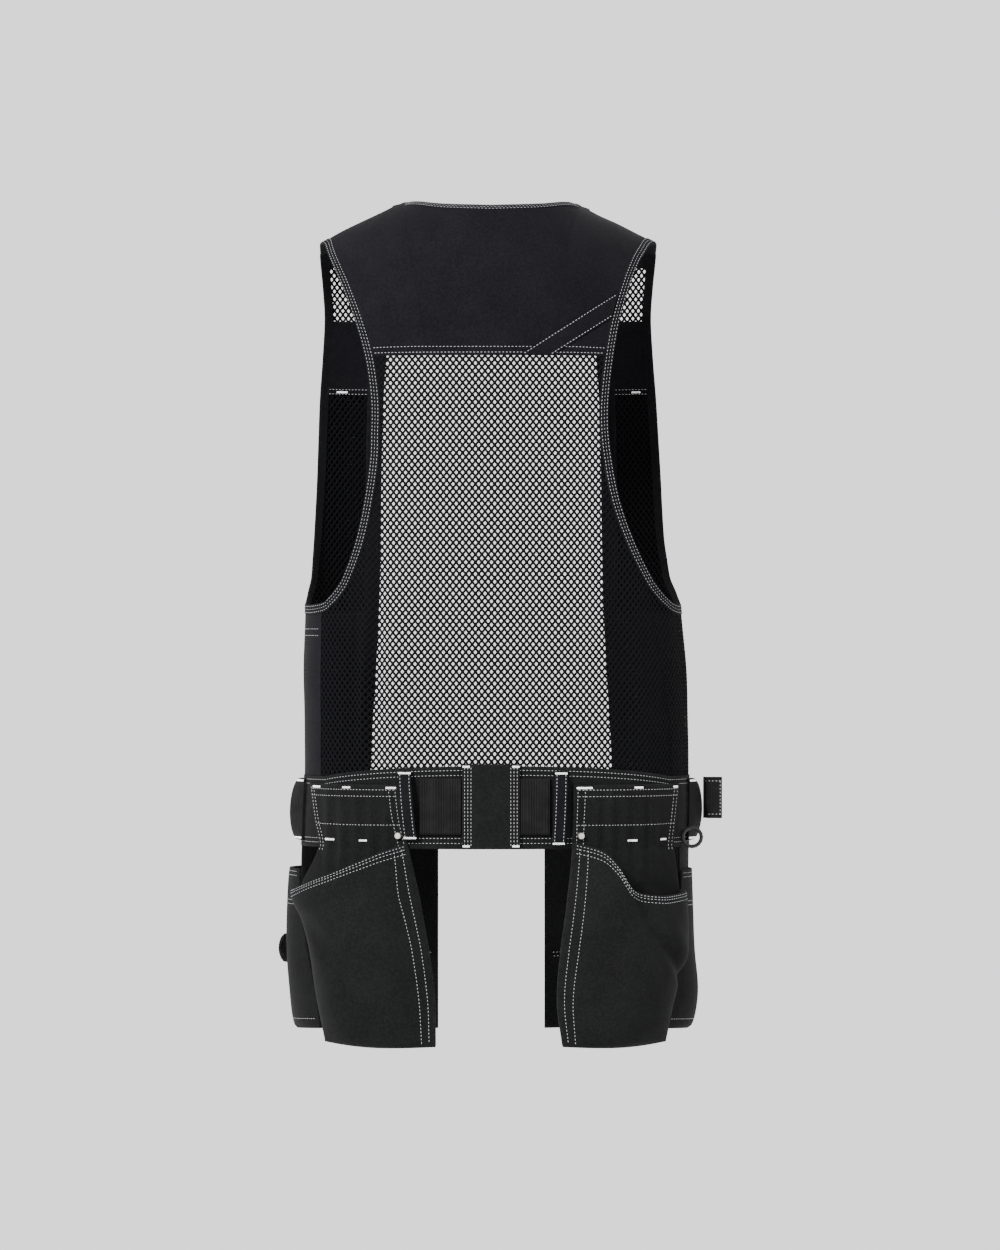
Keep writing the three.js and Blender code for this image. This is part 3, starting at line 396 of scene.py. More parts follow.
def belt_top(turn: Array) -> Array:
    """Height of the belt's top edge, which dips towards the sides."""
    return -BELT_DROP - BELT_DIP * np.minimum(1, np.abs(turn) / (math.pi / 3)) ** 2


def seam_x(side: Side, z: Array) -> Array:
    """Place across of the back net's side seam."""
    return side.value * WAIST_HALF * SEAMS[side](-z / BELT_DROP)


def front_edge(side: Side, z: Array) -> Array:
    """Place across of the open front edge."""
    return side.value * WAIST_HALF * OPENING(-z / BELT_DROP)


def beside_placket(side: Side, z: Array, distance: float) -> Array:
    """Place across at a distance in the cloth from the front edge.

    Args:
        side: left or right.
        z: heights.
        distance: how far from the edge.

    Returns:
        The places.
    """
    x, level = front_edge(side, z), np.minimum(z, -STRAP_DROP)
    step = face_point(Face.FRONT, x + side.value, level) - face_point(Face.FRONT, x, level)
    return x + side.value * distance / np.linalg.norm(step, axis=-1)


def front_height(x: Array, share: Array) -> Array:
    """Height on the shoulder's rounded front, by its share of the quarter turn."""
    return ridge(x) - FRONT_ROUNDING * (1 - np.cos(share * math.pi / 2))


def pair(node: str) -> tuple[str, str]:
    """The dressed piece's name and the node that it replaces."""
    return f"{node}_look", node


def shares(count: int) -> Array:
    """Even shares from 0 to 1."""
    return np.linspace(0, 1, count + 1)


@dataclass
class RowLine:
    """A value by share down, worked out once at even rows and read between them."""

    reading: Callable[[Array], Array]

    def __post_init__(self) -> None:
        """Works the rows out."""
        self.rows = shares(KEPT_ROWS)
        self.values = self.reading(self.rows)

    def __call__(self, share: Array) -> Array:
        """Reads between the rows."""
        return np.interp(share, self.rows, self.values)


def corner_reach(side: Side, z: Array) -> Array:
    """How far the armhole's front edge swings out below its last row, towards the side."""
    last = -ARMHOLE_DROP * FRONT_AT[-1]
    return CORNER_REACH[side] * np.clip((last - z) / (last + ARMHOLE_DROP), 0, 1)


def smooth_path(points: Array, count: int, closed: bool) -> Array:
    """A smooth path through points, on cubic pieces with their neighbours' slopes.

    Args:
        points: the points, one row each.
        count: how many points the path gets.
        closed: whether it joins its start.

    Returns:
        The path's points.
    """
    n = len(points)
    at = np.linspace(0, n if closed else n - 1, count, endpoint=not closed)
    i = np.minimum(at.astype(int), n - 1 if closed else n - 2)
    t = (at - i)[:, None]
    pick = [(i + k) % n if closed else np.clip(i + k, 0, n - 1) for k in (-1, 0, 1, 2)]
    a, b, c, d = (points[k] for k in pick)
    square, cube = 2 * a - 5 * b + 4 * c - d, 3 * b - a - 3 * c + d
    return 0.5 * (2 * b + (c - a) * t + square * t**2 + cube * t**3)


class Socket:
    """One output of a shader graph, which takes part in ordinary arithmetic."""

    def __init__(self, graph: "Graph", socket: bpy.types.NodeSocket) -> None:
        """Keeps the graph and the socket."""
        self.graph, self.socket = graph, socket

    def math(self, kind: str, *others: "Socket | float") -> "Socket":
        """A Math node of that kind on this value and the others."""
        return self.graph.math(kind, self, *others)

    def __add__(self, other: "Socket | float") -> "Socket":
        """The sum."""
        return self.math("ADD", other)

    def __sub__(self, other: "Socket | float") -> "Socket":
        """The difference."""
        return self.math("SUBTRACT", other)

    def __mul__(self, other: "Socket | float") -> "Socket":
        """The product."""
        return self.math("MULTIPLY", other)

    def __rsub__(self, other: float) -> "Socket":
        """The other value less this one."""
        return self.graph.math("SUBTRACT", other, self)

    def sin(self) -> "Socket":
        """The sine."""
        return self.math("SINE")

    def step(self, low: float, high: float) -> "Socket":
        """Rises smoothly from 0 at low to 1 at high.

        Args:
            low: where the rise starts.
            high: where it ends.

        Returns:
            The share.
        """
        values = {"From Min": low, "From Max": high}
        settings = {"interpolation_type": "SMOOTHSTEP"}
        return self.graph.node("ShaderNodeMapRange", settings, {"Value": self, **values})


class Graph:
    """The node graph of one material."""

    def __init__(self, name: str) -> None:
        """Starts an empty material with a surface shader.

        Args:
            name: the material's name.
        """
        self.material = bpy.data.materials.new(name)
        self.material.use_nodes = True
        self.tree = self.material.node_tree
        self.tree.nodes.clear()
        output = self.tree.nodes.new("ShaderNodeOutputMaterial")
        self.shader = self.tree.nodes.new("ShaderNodeBsdfPrincipled")
        self.tree.links.new(self.shader.outputs[0], output.inputs["Surface"])

    def put(self, socket: bpy.types.NodeSocket, value: object) -> None:
        """Links or sets one input.

        Args:
            socket: the input.
            value: a link or a value.
        """
        if isinstance(value, Socket):
            self.tree.links.new(value.socket, socket)
        else:
            socket.default_value = value

    def node(self, kind: str, settings: dict, values: dict, output: str | int = 0) -> Socket:
        """Adds a node.

        Args:
            kind: the node's type.
            settings: its own settings, made first.
            values: values or links of its inputs.
            output: the output that is wanted.

        Returns:
            That output.
        """
        made = self.tree.nodes.new(kind)
        for key, value in settings.items():
            setattr(made, key, value)
        for key, value in values.items():
            self.put(made.inputs[key], value)
        return Socket(self, made.outputs[output])

    def math(self, kind: str, *values: Socket | float) -> Socket:
        """A Math node of that kind on the values."""
        return self.node("ShaderNodeMath", {"operation": kind}, dict(enumerate(values)))

    def blend(self, share: Socket, low: tuple, high: tuple) -> Socket:
        """A colour between two, by a share from 0 to 1."""
        values = {0: share, 6: (*low, 1), 7: (*high, 1)}
        return self.node("ShaderNodeMix", {"data_type": "RGBA"}, values, 2)

    def noise(self, scale: float, detail: float = 3.0) -> Socket:
        """Soft noise in object space, with that many waves a metre."""
        place = self.node("ShaderNodeTexCoord", {}, {}, "Object")
        values = {"Vector": place, "Scale": scale, "Detail": detail}
        return self.node("ShaderNodeTexNoise", {}, values)

    def lengths(self) -> tuple[Socket, Socket]:
        """Lengths in metres across and down the cloth, from its UV map."""
        place = self.node("ShaderNodeUVMap", {"uv_map": "cloth"}, {})
        parts = [self.node("ShaderNodeSeparateXYZ", {}, {0: place}, axis) for axis in ("X", "Y")]
        return parts[0], parts[1]

    def bump(self, height: Socket, distance: float, strength: float) -> None:
        """Raises the surface by a height from 0 to 1.

        Args:
            height: the pattern.
            distance: the height of 1, in metres.
            strength: how strongly it shows.
        """
        values = {"Height": height, "Distance": distance, "Strength": strength}
        self.put(self.shader.inputs["Normal"], self.node("ShaderNodeBump", {}, values))

    def dress(self, color: Socket, roughness: Socket, **constants: float) -> bpy.types.Material:
        """Fills in the surface shader.

        Args:
            color: the colour.
            roughness: the roughness.
            constants: its other inputs by name, with _ for a space.

        Returns:
            The material.
        """
        self.put(self.shader.inputs["Base Color"], color)
        self.put(self.shader.inputs["Roughness"], roughness)
        for key, value in constants.items():
            self.shader.inputs[key.replace("_", " ")].default_value = value
        return self.material


@dataclass(frozen=True)
class ClothFinish:
    """Woven cloth: crossing threads, soft mottling and paler worn edges."""

    name: str
    dark: tuple[float, float, float]
    light: tuple[float, float, float]
    thread: float = 0.0011
    slant: float = 1.0
    relief: float = 0.00022
    sheen: float = 0.015
    mottle: float = 24.0

    def material(self) -> bpy.types.Material:
        """Builds the cloth's material.

        Returns:
            The material.
        """
        graph = Graph(self.name)
        across, down = graph.lengths()
        turns = 2 * math.pi / self.thread
        twill = ((across * turns + down * (turns * self.slant)).sin() + 1) * 0.5
        weft = ((down * (turns * 1.7) - across * (turns * 0.35)).sin() + 1) * 0.5
        weave = twill * 0.65 + weft * 0.35
        patches = graph.noise(self.mottle, 4).step(0.3, 0.72)
        fuzz = graph.noise(420, 4)
        edge = graph.node("ShaderNodeAttribute", {"attribute_name": "edge"}, {}, "Fac")
        worn = (1 - edge.step(0.0, 0.004)) * graph.noise(140).step(0.4, 0.7)
        share = patches * 0.2 + weave * 0.3 + fuzz.step(0.3, 0.75) * 0.45 + worn * 0.5
        color = graph.blend(share, self.dark, self.light)
        graph.bump(weave * 0.7 + fuzz * 0.3 + patches * 0.6, self.relief, 0.8)
        rough = graph.noise(60) * 0.16 + 0.76
        return graph.dress(
            color, rough, Sheen_Weight=self.sheen, Sheen_Roughness=0.5, Specular_IOR_Level=0.045
        )


@dataclass(frozen=True)
class RibbedFinish:
    """Webbing or elastic: fine ribs along it with crossing threads."""

    name: str
    dark: tuple[float, float, float]
    light: tuple[float, float, float]
    rib: float = 0.0028

    def material(self) -> bpy.types.Material:
        """Builds the webbing's material.

        Returns:
            The material.
        """
        graph = Graph(self.name)
        across, down = graph.lengths()
        ribs = ((across * (2 * math.pi / self.rib)).sin() + 1) * 0.5
        threads = ((down * (2 * math.pi / 0.0009) + ribs * 2.0).sin() + 1) * 0.5
        height = ribs * 0.7 + threads * 0.3
        worn = graph.noise(80, 4).step(0.35, 0.75)
        color = graph.blend(height * 0.6 + worn * 0.4, self.dark, self.light)
        graph.bump(height, 0.0004, 0.9)
        rough = graph.noise(50) * 0.2 + 0.6
        return graph.dress(
            color, rough, Sheen_Weight=0.01, Sheen_Roughness=0.4, Specular_IOR_Level=0.08
        )


@dataclass(frozen=True)
class PlainFinish:
    """A smooth body of plastic, metal or thread with fine scratches and mottling."""

    name: str
    dark: tuple[float, float, float]
    light: tuple[float, float, float]
    roughness: float
    metallic: float = 0.0
    grain: float = 700.0
    gloss: float = 0.2

    def material(self) -> bpy.types.Material:
        """Builds the material.

        Returns:
            The material.
        """
        graph = Graph(self.name)
        grain = graph.noise(self.grain, 4)
        patches = graph.noise(90, 3)
        color = graph.blend(grain * 0.5 + patches * 0.5, self.dark, self.light)
        graph.bump(grain, 0.00008, 0.5)
        rough = patches * 0.2 + (self.roughness - 0.1)
        return graph.dress(color, rough, Metallic=self.metallic, Specular_IOR_Level=self.gloss)


@dataclass(frozen=True)
class Looks:
    """The vest's finishes by material slot."""

    finishes: dict[str, ClothFinish | RibbedFinish | PlainFinish] = field(
        default_factory=lambda: {
            "yoke_cloth": ClothFinish(
                "brushed_twill", (0.0010, 0.0009, 0.0015), (0.0048, 0.0046, 0.0062)
            ),
            "net": PlainFinish(
                "net_yarn", (0.0005, 0.0005, 0.0008), (0.0015, 0.0015, 0.0022), 0.8, gloss=0.06
            ),
            "tape": ClothFinish(
                "woven_tape", (0.0008, 0.0008, 0.0012), (0.0045, 0.0045, 0.0055), 0.0014, 0.0
            ),
            "webbing": RibbedFinish(
                "ribbed_webbing", (0.0003, 0.0003, 0.0003), (0.005, 0.005, 0.005)
            ),
            "holster_cloth": ClothFinish(
                "heavy_pocket_cloth", (0.0013, 0.0014, 0.0014), (0.006, 0.0062, 0.0062),
                0.0013, 0.4, 0.0003,
            ),
            "plastic": PlainFinish(
                "satin_plastic", (0.002, 0.002, 0.002), (0.006, 0.006, 0.006), 0.42
            ),
            "metal": PlainFinish("pale_nickel", (0.5, 0.47, 0.41), (0.72, 0.69, 0.62), 0.3, 1.0),
            "thread": PlainFinish("pale_thread", (0.15, 0.15, 0.16), (0.34, 0.34, 0.35), 0.6),
            "tack": PlainFinish("white_thread", (0.75, 0.75, 0.75), (0.95, 0.95, 0.95), 0.6),
        }
    )
    made: dict[str, bpy.types.Material] = field(default_factory=dict)

    def material(self, name: str) -> bpy.types.Material:
        """The finish's material, made once."""
        if name not in self.made:
            self.made[name] = self.finishes[name].material()
        return self.made[name]


@dataclass(frozen=True)
class Crease:
    """A soft fold on a line between two places (x, z), in millimetres."""

    start: tuple[float, float]
    end: tuple[float, float]
    width: float
    height: float


@dataclass(frozen=True)
class Folds:
    """Creases and slow waves, as a height above the cloth's even surface."""

    creases: tuple[Crease, ...] = ()
    wave: float = 0.0

    def __call__(self, points: Array) -> Array:
        """Sums the folds.

        Each crease is a bell across its line that fades before its ends. The waves are sines of
        unlike lengths in three directions.

        Args:
            points: points of the cloth.

        Returns:
            The heights.
        """
        x, y, z = points[..., 0], points[..., 1], points[..., 2]
        waves = np.sin(x / 17 + z / 41 + 0.6) + np.sin(x / 9.5 - z / 29 + y / 23) * 0.6
        height = self.wave * (waves + np.sin(z / 13 + x / 31 + 2.1) * 0.4) / 2
        for crease in self.creases:
            start, end = np.array(crease.start), np.array(crease.end)
            run = end - start
            place = np.stack([x, z], axis=-1) - start
            t = np.clip((place @ run) / (run @ run), 0, 1)
            away = np.linalg.norm(place - t[..., None] * run, axis=-1)
            fade = np.sin(math.pi * np.clip(t * 0.86 + 0.07, 0, 1)) ** 0.6
            height = height + crease.height * np.exp(-((away / crease.width) ** 2)) * fade
        return height


def make_object(
    name: str,
    points: Array,
    faces: list[Array],
    material: bpy.types.Material,
    uv: Array | None = None,
    edge: Array | None = None,
    flat: int = 0,
) -> bpy.types.Object:
    """Writes a mesh object.

    Args:
        name: its name.
        points: vertices in millimetres.
        faces: arrays of faces, each with its own corner count.
        material: the finish.
        uv: lengths in metres at each vertex.
        edge: distance from the cloth's edge at each vertex, in metres.
        flat: how many of the last array's faces are shaded flat.

    Returns:
        The object.
    """
    mesh = bpy.data.meshes.new(name)
    sizes = np.concatenate([np.full(len(f), f.shape[1]) for f in faces])
    corners = np.concatenate([f.ravel() for f in faces]).astype(np.int32)
    mesh.vertices.add(len(points))
    mesh.vertices.foreach_set("co", (points * METRES).astype(np.float32).ravel())
    mesh.loops.add(len(corners))
    mesh.loops.foreach_set("vertex_index", corners)
    mesh.polygons.add(len(sizes))
    starts = np.concatenate([[0], np.cumsum(sizes)[:-1]]).astype(np.int32)
    mesh.polygons.foreach_set("loop_start", starts)
    smooth = np.arange(len(sizes)) < len(sizes) - flat
    mesh.polygons.foreach_set("use_smooth", smooth)
    if uv is not None:
        layer = mesh.uv_layers.new(name="cloth")
        layer.data.foreach_set("uv", uv[corners].astype(np.float32).ravel())
    if edge is not None:
        held = mesh.attributes.new("edge", "FLOAT", "POINT")
        held.data.foreach_set("value", edge.astype(np.float32))
    mesh.update(calc_edges=True)
    mesh.validate()
    mesh.materials.append(material)
    piece = bpy.data.objects.new(name, mesh)
    bpy.context.scene.collection.objects.link(piece)
    return piece


def signed_volume(points: Array, quads: Array) -> float:
    """Six times the volume that the quads enclose."""
    a, b, c, d = (points[quads[:, k]] for k in range(4))
    return float((a * np.cross(b, c)).sum() + (a * np.cross(c, d)).sum())


def wall_quads(high: int, wide: int) -> tuple[Array, int]:
    """Faces of a closed wall: its outer grid, the same grid for its inner face, and its rim.

    Args:
        high: vertices down.
        wide: vertices across.

    Returns:
        The faces, and how many of the last ones are the rim's.
    """
    index = np.arange(high * wide).reshape(high, wide)
    a, b = index[:-1, :-1].ravel(), index[:-1, 1:].ravel()
    d, e = index[1:, :-1].ravel(), index[1:, 1:].ravel()
    border = np.concatenate([index[0, :-1], index[:-1, -1], index[-1, :0:-1], index[:0:-1, 0]])
    ahead, count = np.roll(border, -1), index.size
    rim = np.stack([border, ahead, ahead + count, border + count], 1)
    faces = [np.stack([a, d, e, b], 1), np.stack([a, b, e, d], 1) + count, rim]
    return np.concatenate(faces), len(border)


@dataclass
class Thread:
    """Collects stitches and bar tacks of one sub-assembly."""

    name: str
    slot: str
    looks: Looks
    rows: list[tuple[Array, Array, Array]] = field(default_factory=list)

    def sew(self, path: Array, normals: Array, pitch: float = 3.8, length: float = 2.2) -> None:
        """Sews a row of stitches along a path on the cloth.

        Args:
            path: points of the path, in millimetres.
            normals: the cloth's normals there.
            pitch: distance from stitch to stitch.
            length: a stitch's length.
        """
        steps = np.linalg.norm(np.diff(path, axis=0), axis=1)
        run = np.concatenate([[0], np.cumsum(steps)])
        if run[-1] < pitch:
            return
        at = np.arange(pitch / 2, run[-1], pitch)
        place = np.stack([np.interp(at, run, path[:, k]) for k in range(3)], axis=1)
        up = unit(np.stack([np.interp(at, run, normals[:, k]) for k in range(3)], axis=1))
        ahead = np.stack([np.interp(at + 0.5, run, path[:, k]) for k in range(3)], axis=1)
        behind = np.stack([np.interp(at - 0.5, run, path[:, k]) for k in range(3)], axis=1)
        self.rows.append((place, up, unit(ahead - behind) * length / 2))

    def tack(self, path: Array, normals: Array, width: float = 2.4) -> None:
        """Sews a dense bar tack along a short path.

        Args:
            path: points of the path, in millimetres.
            normals: the cloth's normals there.
            width: the tack's width.
        """
        count = len(self.rows)
        self.sew(path, normals, 0.75, width)
        for index in range(count, len(self.rows)):
            place, up, along = self.rows[index]
            self.rows[index] = (place, up, unit(np.cross(up, along)) * width / 2)

    def build(self) -> bpy.types.Object:
        """Makes the thread's object.

        A stitch is a small spindle: three square rings between two tips, half sunk in the cloth.

        Returns:
            The object.
        """
        place, up, along = (np.concatenate([row[k] for row in self.rows]) for k in range(3))
        side = unit(np.cross(along, up))
        shape = [(-1, 0, 0.05)]
        for t, size in ((-0.75, 0.75), (0.0, 1.0), (0.75, 0.75)):
            shape += [(t, size, 0), (t, 0, size), (t, -size, 0), (t, 0, -size)]
        shape.append((1, 0, 0.05))
        t, across, high = (np.array(part)[None, :, None] for part in zip(*shape))
        points = place[:, None] + along[:, None] * t + side[:, None] * across * STITCH_HALF
        points = points + up[:, None] * (high * STITCH_RISE + STITCH_OFF)
        ring = np.arange(4)
        turned = (ring + 1) % 4
        quads = [np.stack([ring + a, turned + a, turned + a + 4, ring + a + 4], 1) for a in (1, 5)]
        tips = [
            np.stack([ring * 0, turned + 1, ring + 1], 1),
            np.stack([ring * 0 + STITCH_POINTS - 1, ring + 9, turned + 9], 1),
        ]
        offset = (np.arange(len(place)) * STITCH_POINTS)[:, None, None]
        faces = [
            (np.concatenate(quads)[None] + offset).reshape(-1, 4),
            (np.concatenate(tips)[None] + offset).reshape(-1, 3),
        ]
        piece = make_object(self.name, points.reshape(-1, 3), faces, self.looks.material(self.slot))
        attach(piece, "root")
        return piece


@dataclass
class Sheet:
    """A closed wall of cloth over a surface of two shares."""

    name: str
    node: str
    slot: str
    surface: Surface
    columns: int
    rows: int
    thickness: float = CLOTH
    lift: Height | float = 0.0
    folds: Folds = field(default_factory=Folds)
    rests_on: tuple[str, ...] = ()

    def place(self, c: Array, r: Array, above: float) -> Array:
        """Points at a height above the wall's inner face.

        Args:
            c: shares across.
            r: shares down.
            above: the height, in millimetres.

        Returns:
            The points.
        """
        step = 2e-3
        base = self.surface(c, r)
        across = self.surface(np.minimum(c + step, 1), r) - self.surface(np.maximum(c - step, 0), r)
        down = self.surface(c, np.minimum(r + step, 1)) - self.surface(c, np.maximum(r - step, 0))
        normal = unit(np.cross(across, down))
        heart = np.zeros_like(base)
        heart[..., 2] = np.minimum(base[..., 2], -BELT_DROP / 3)
        outward = base - heart
        normal = normal * np.where((normal * outward).sum(-1, keepdims=True) < 0, -1, 1)
        lift = self.lift(c, r) if callable(self.lift) else self.lift
        return base + normal * (lift + above + self.folds(base))[..., None]

    def skin(self, c: Array, r: Array) -> tuple[Array, Array]:
        """Points and outward normals of the outer face.

        Args:
            c: shares across.
            r: shares down.

        Returns:
            The points and the normals.
        """
        c, r = np.broadcast_arrays(np.asarray(c, float), np.asarray(r, float))
        step = 4e-3
        top = self.thickness
        here = self.place(c, r, top)
        right, left = np.minimum(c + step, 1), np.maximum(c - step, 0)
        low, high = np.minimum(r + step, 1), np.maximum(r - step, 0)
        across = self.place(right, r, top) - self.place(left, r, top)
        down = self.place(c, low, top) - self.place(c, high, top)
        normal = unit(np.cross(across, down))
        above = here - self.place(c, r, 0)
        return here, normal * np.where((normal * above).sum(-1, keepdims=True) < 0, -1, 1)

    def sew_across(self, thread: Thread, t: Array, *levels: float) -> None:
        """Sews rows across the wall at those shares down."""
        for level in levels:
            thread.sew(*self.skin(t, np.full_like(t, level)))

    def sew_down(self, thread: Thread, t: Array, *levels: float) -> None:
        """Sews rows down the wall at those shares across."""
        for level in levels:
            thread.sew(*self.skin(np.full_like(t, level), t))

    def sew_inside(self, thread: Thread, t: Array, level: float) -> None:
        """Sews a row across the wall's inner face."""
        points, normals = self.skin(t, np.full_like(t, level))
        thread.sew(points - normals * (CLOTH + STITCH_OFF), -normals)

    def tack(self, thread: Thread, low: float, high: float, level: float, count: int = 30) -> None:
        """Sews a bar tack across the wall, between two shares."""
        thread.tack(*self.skin(np.linspace(low, high, count), np.full(count, level)))

    def build(self, looks: Looks) -> bpy.types.Object:
        """Args:
            looks: the finishes.

        Returns:
            The object.
        """
        c, r = np.meshgrid(shares(self.columns), shares(self.rows))
        outer, inner = self.place(c, r, self.thickness), self.place(c, r, 0)
        high, wide = c.shape
        points = np.concatenate([outer.reshape(-1, 3), inner.reshape(-1, 3)])
        quads, rim = wall_quads(high, wide)
        if signed_volume(points, quads) < 0:
            quads = quads[:, ::-1]
        step_c = np.linalg.norm(np.diff(outer, axis=1), axis=-1)
        step_r = np.linalg.norm(np.diff(outer, axis=0), axis=-1)
        across = np.concatenate([np.zeros((high, 1)), np.cumsum(step_c, 1)], 1)
        down = np.concatenate([np.zeros((1, wide)), np.cumsum(step_r, 0)], 0)
        beside, ends = across[:, -1:] - across, down[-1:] - down
        edge = np.minimum(np.minimum(across, beside), np.minimum(down, ends))
        centred = across - across[:, -1:] / 2
        uv = np.stack([centred.ravel(), down.ravel()], 1) * METRES
        material = looks.material(self.slot)
        uv, edge = np.tile(uv, (2, 1)), np.tile(edge.ravel() * METRES, 2)
        piece = make_object(self.name, points, [quads], material, uv, edge, rim)
        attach(piece, "root")
        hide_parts(self.node)
        cells = np.cross(outer[1:, 1:] - outer[:-1, :-1], outer[1:, :-1] - outer[:-1, 1:])
        area = np.linalg.norm(cells, axis=-1).sum() / 2 * METRES**2
        size = np.array([across[:, -1].max(), down[-1].max()]) * METRES
        size = size * max(1.0, math.sqrt(area / (size[0] * size[1])))
        list(self.rests_on)
        log.info("%s: %d quads, %.0f x %.0f mm", self.name, len(quads), *(size / METRES))
        return piece


@dataclass
class Tape:
    """A band of tape with rounded edges along a path."""

    name: str
    node: str
    stations: Array
    normals: Array
    width: float
    thickness: float
    closed: bool
    slot: str = "tape"
    samples: int = 260

    def path(self) -> tuple[Array, Array, Array]:
        """The dense path, with its normals and its directions across.

        Returns:
            The points, normals and directions.
        """
        points = smooth_path(self.stations, self.samples, self.closed)
        normals = unit(smooth_path(self.normals, self.samples, self.closed))
        if self.closed:
            along = np.roll(points, -1, 0) - np.roll(points, 1, 0)
        else:
            along = np.gradient(points, axis=0)
        side = unit(np.cross(normals, unit(along)))
        return points, unit(np.cross(along, side)), side

    def line(self, share: float) -> tuple[Array, Array]:
        """A line on the tape's outer face, at a share of its half width.

        Args:
            share: from -1 to 1 across the tape.

        Returns:
            The points and normals.
        """
        points, normals, side = self.path()
        place = points + side * share * self.width / 2 + normals * self.thickness / 2
        if self.closed:
            place, normals = (np.concatenate([part, part[:1]]) for part in (place, normals))
        return place, normals

    def build(self, looks: Looks) -> bpy.types.Object:
        """Makes the tape.

        Its section is a flat oval with three shallow quilted ridges on the outer face.

        Args:
            looks: the finishes.

        Returns:
            The object.
        """
        points, normals, side = self.path()
        turn = np.linspace(0, 2 * math.pi, 28, endpoint=False)
        power = 0.35
        across = np.sign(np.cos(turn)) * np.abs(np.cos(turn)) ** power * self.width / 2
        high = np.sign(np.sin(turn)) * np.abs(np.sin(turn)) ** power * self.thickness / 2
        ridges = 0.22 * np.cos(across / self.width * 2 * math.pi * 3.0) * (high > 0)
        grid = points[:, None] + side[:, None] * across[None, :, None]
        grid = grid + normals[:, None] * (high + ridges)[None, :, None]
        count, wide = grid.shape[:2]
        index = np.arange(count * wide).reshape(count, wide)
        rows = np.roll(index, -1, 0) if self.closed else index[1:]
        here = index if self.closed else index[:-1]
        quads = np.stack([here, np.roll(here, -1, 1), np.roll(rows, -1, 1), rows], -1)
        quads = quads.reshape(-1, 4)
        faces = [quads]
        if not self.closed:
            faces.append(np.stack([index[0][::-1], index[-1]]))
        flat_points = grid.reshape(-1, 3)
        if signed_volume(flat_points, quads) < 0:
            faces = [part[:, ::-1] for part in faces]
        run = np.concatenate([[0], np.cumsum(np.linalg.norm(np.diff(points, axis=0), axis=1))])
        uv = np.stack(np.broadcast_arrays(run[:, None], across[None]), -1).reshape(-1, 2) * METRES
        edge = np.tile(self.width / 2 - np.abs(across), count) * METRES
        piece = make_object(self.name, flat_points, faces, looks.material(self.slot), uv, edge)
        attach(piece, "root")
        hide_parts(self.node)
        length = run[-1] * METRES
        around = (self.width + self.thickness) * METRES
        log.info("%s: %d quads, %.2f m", self.name, len(quads), length)
        return piece


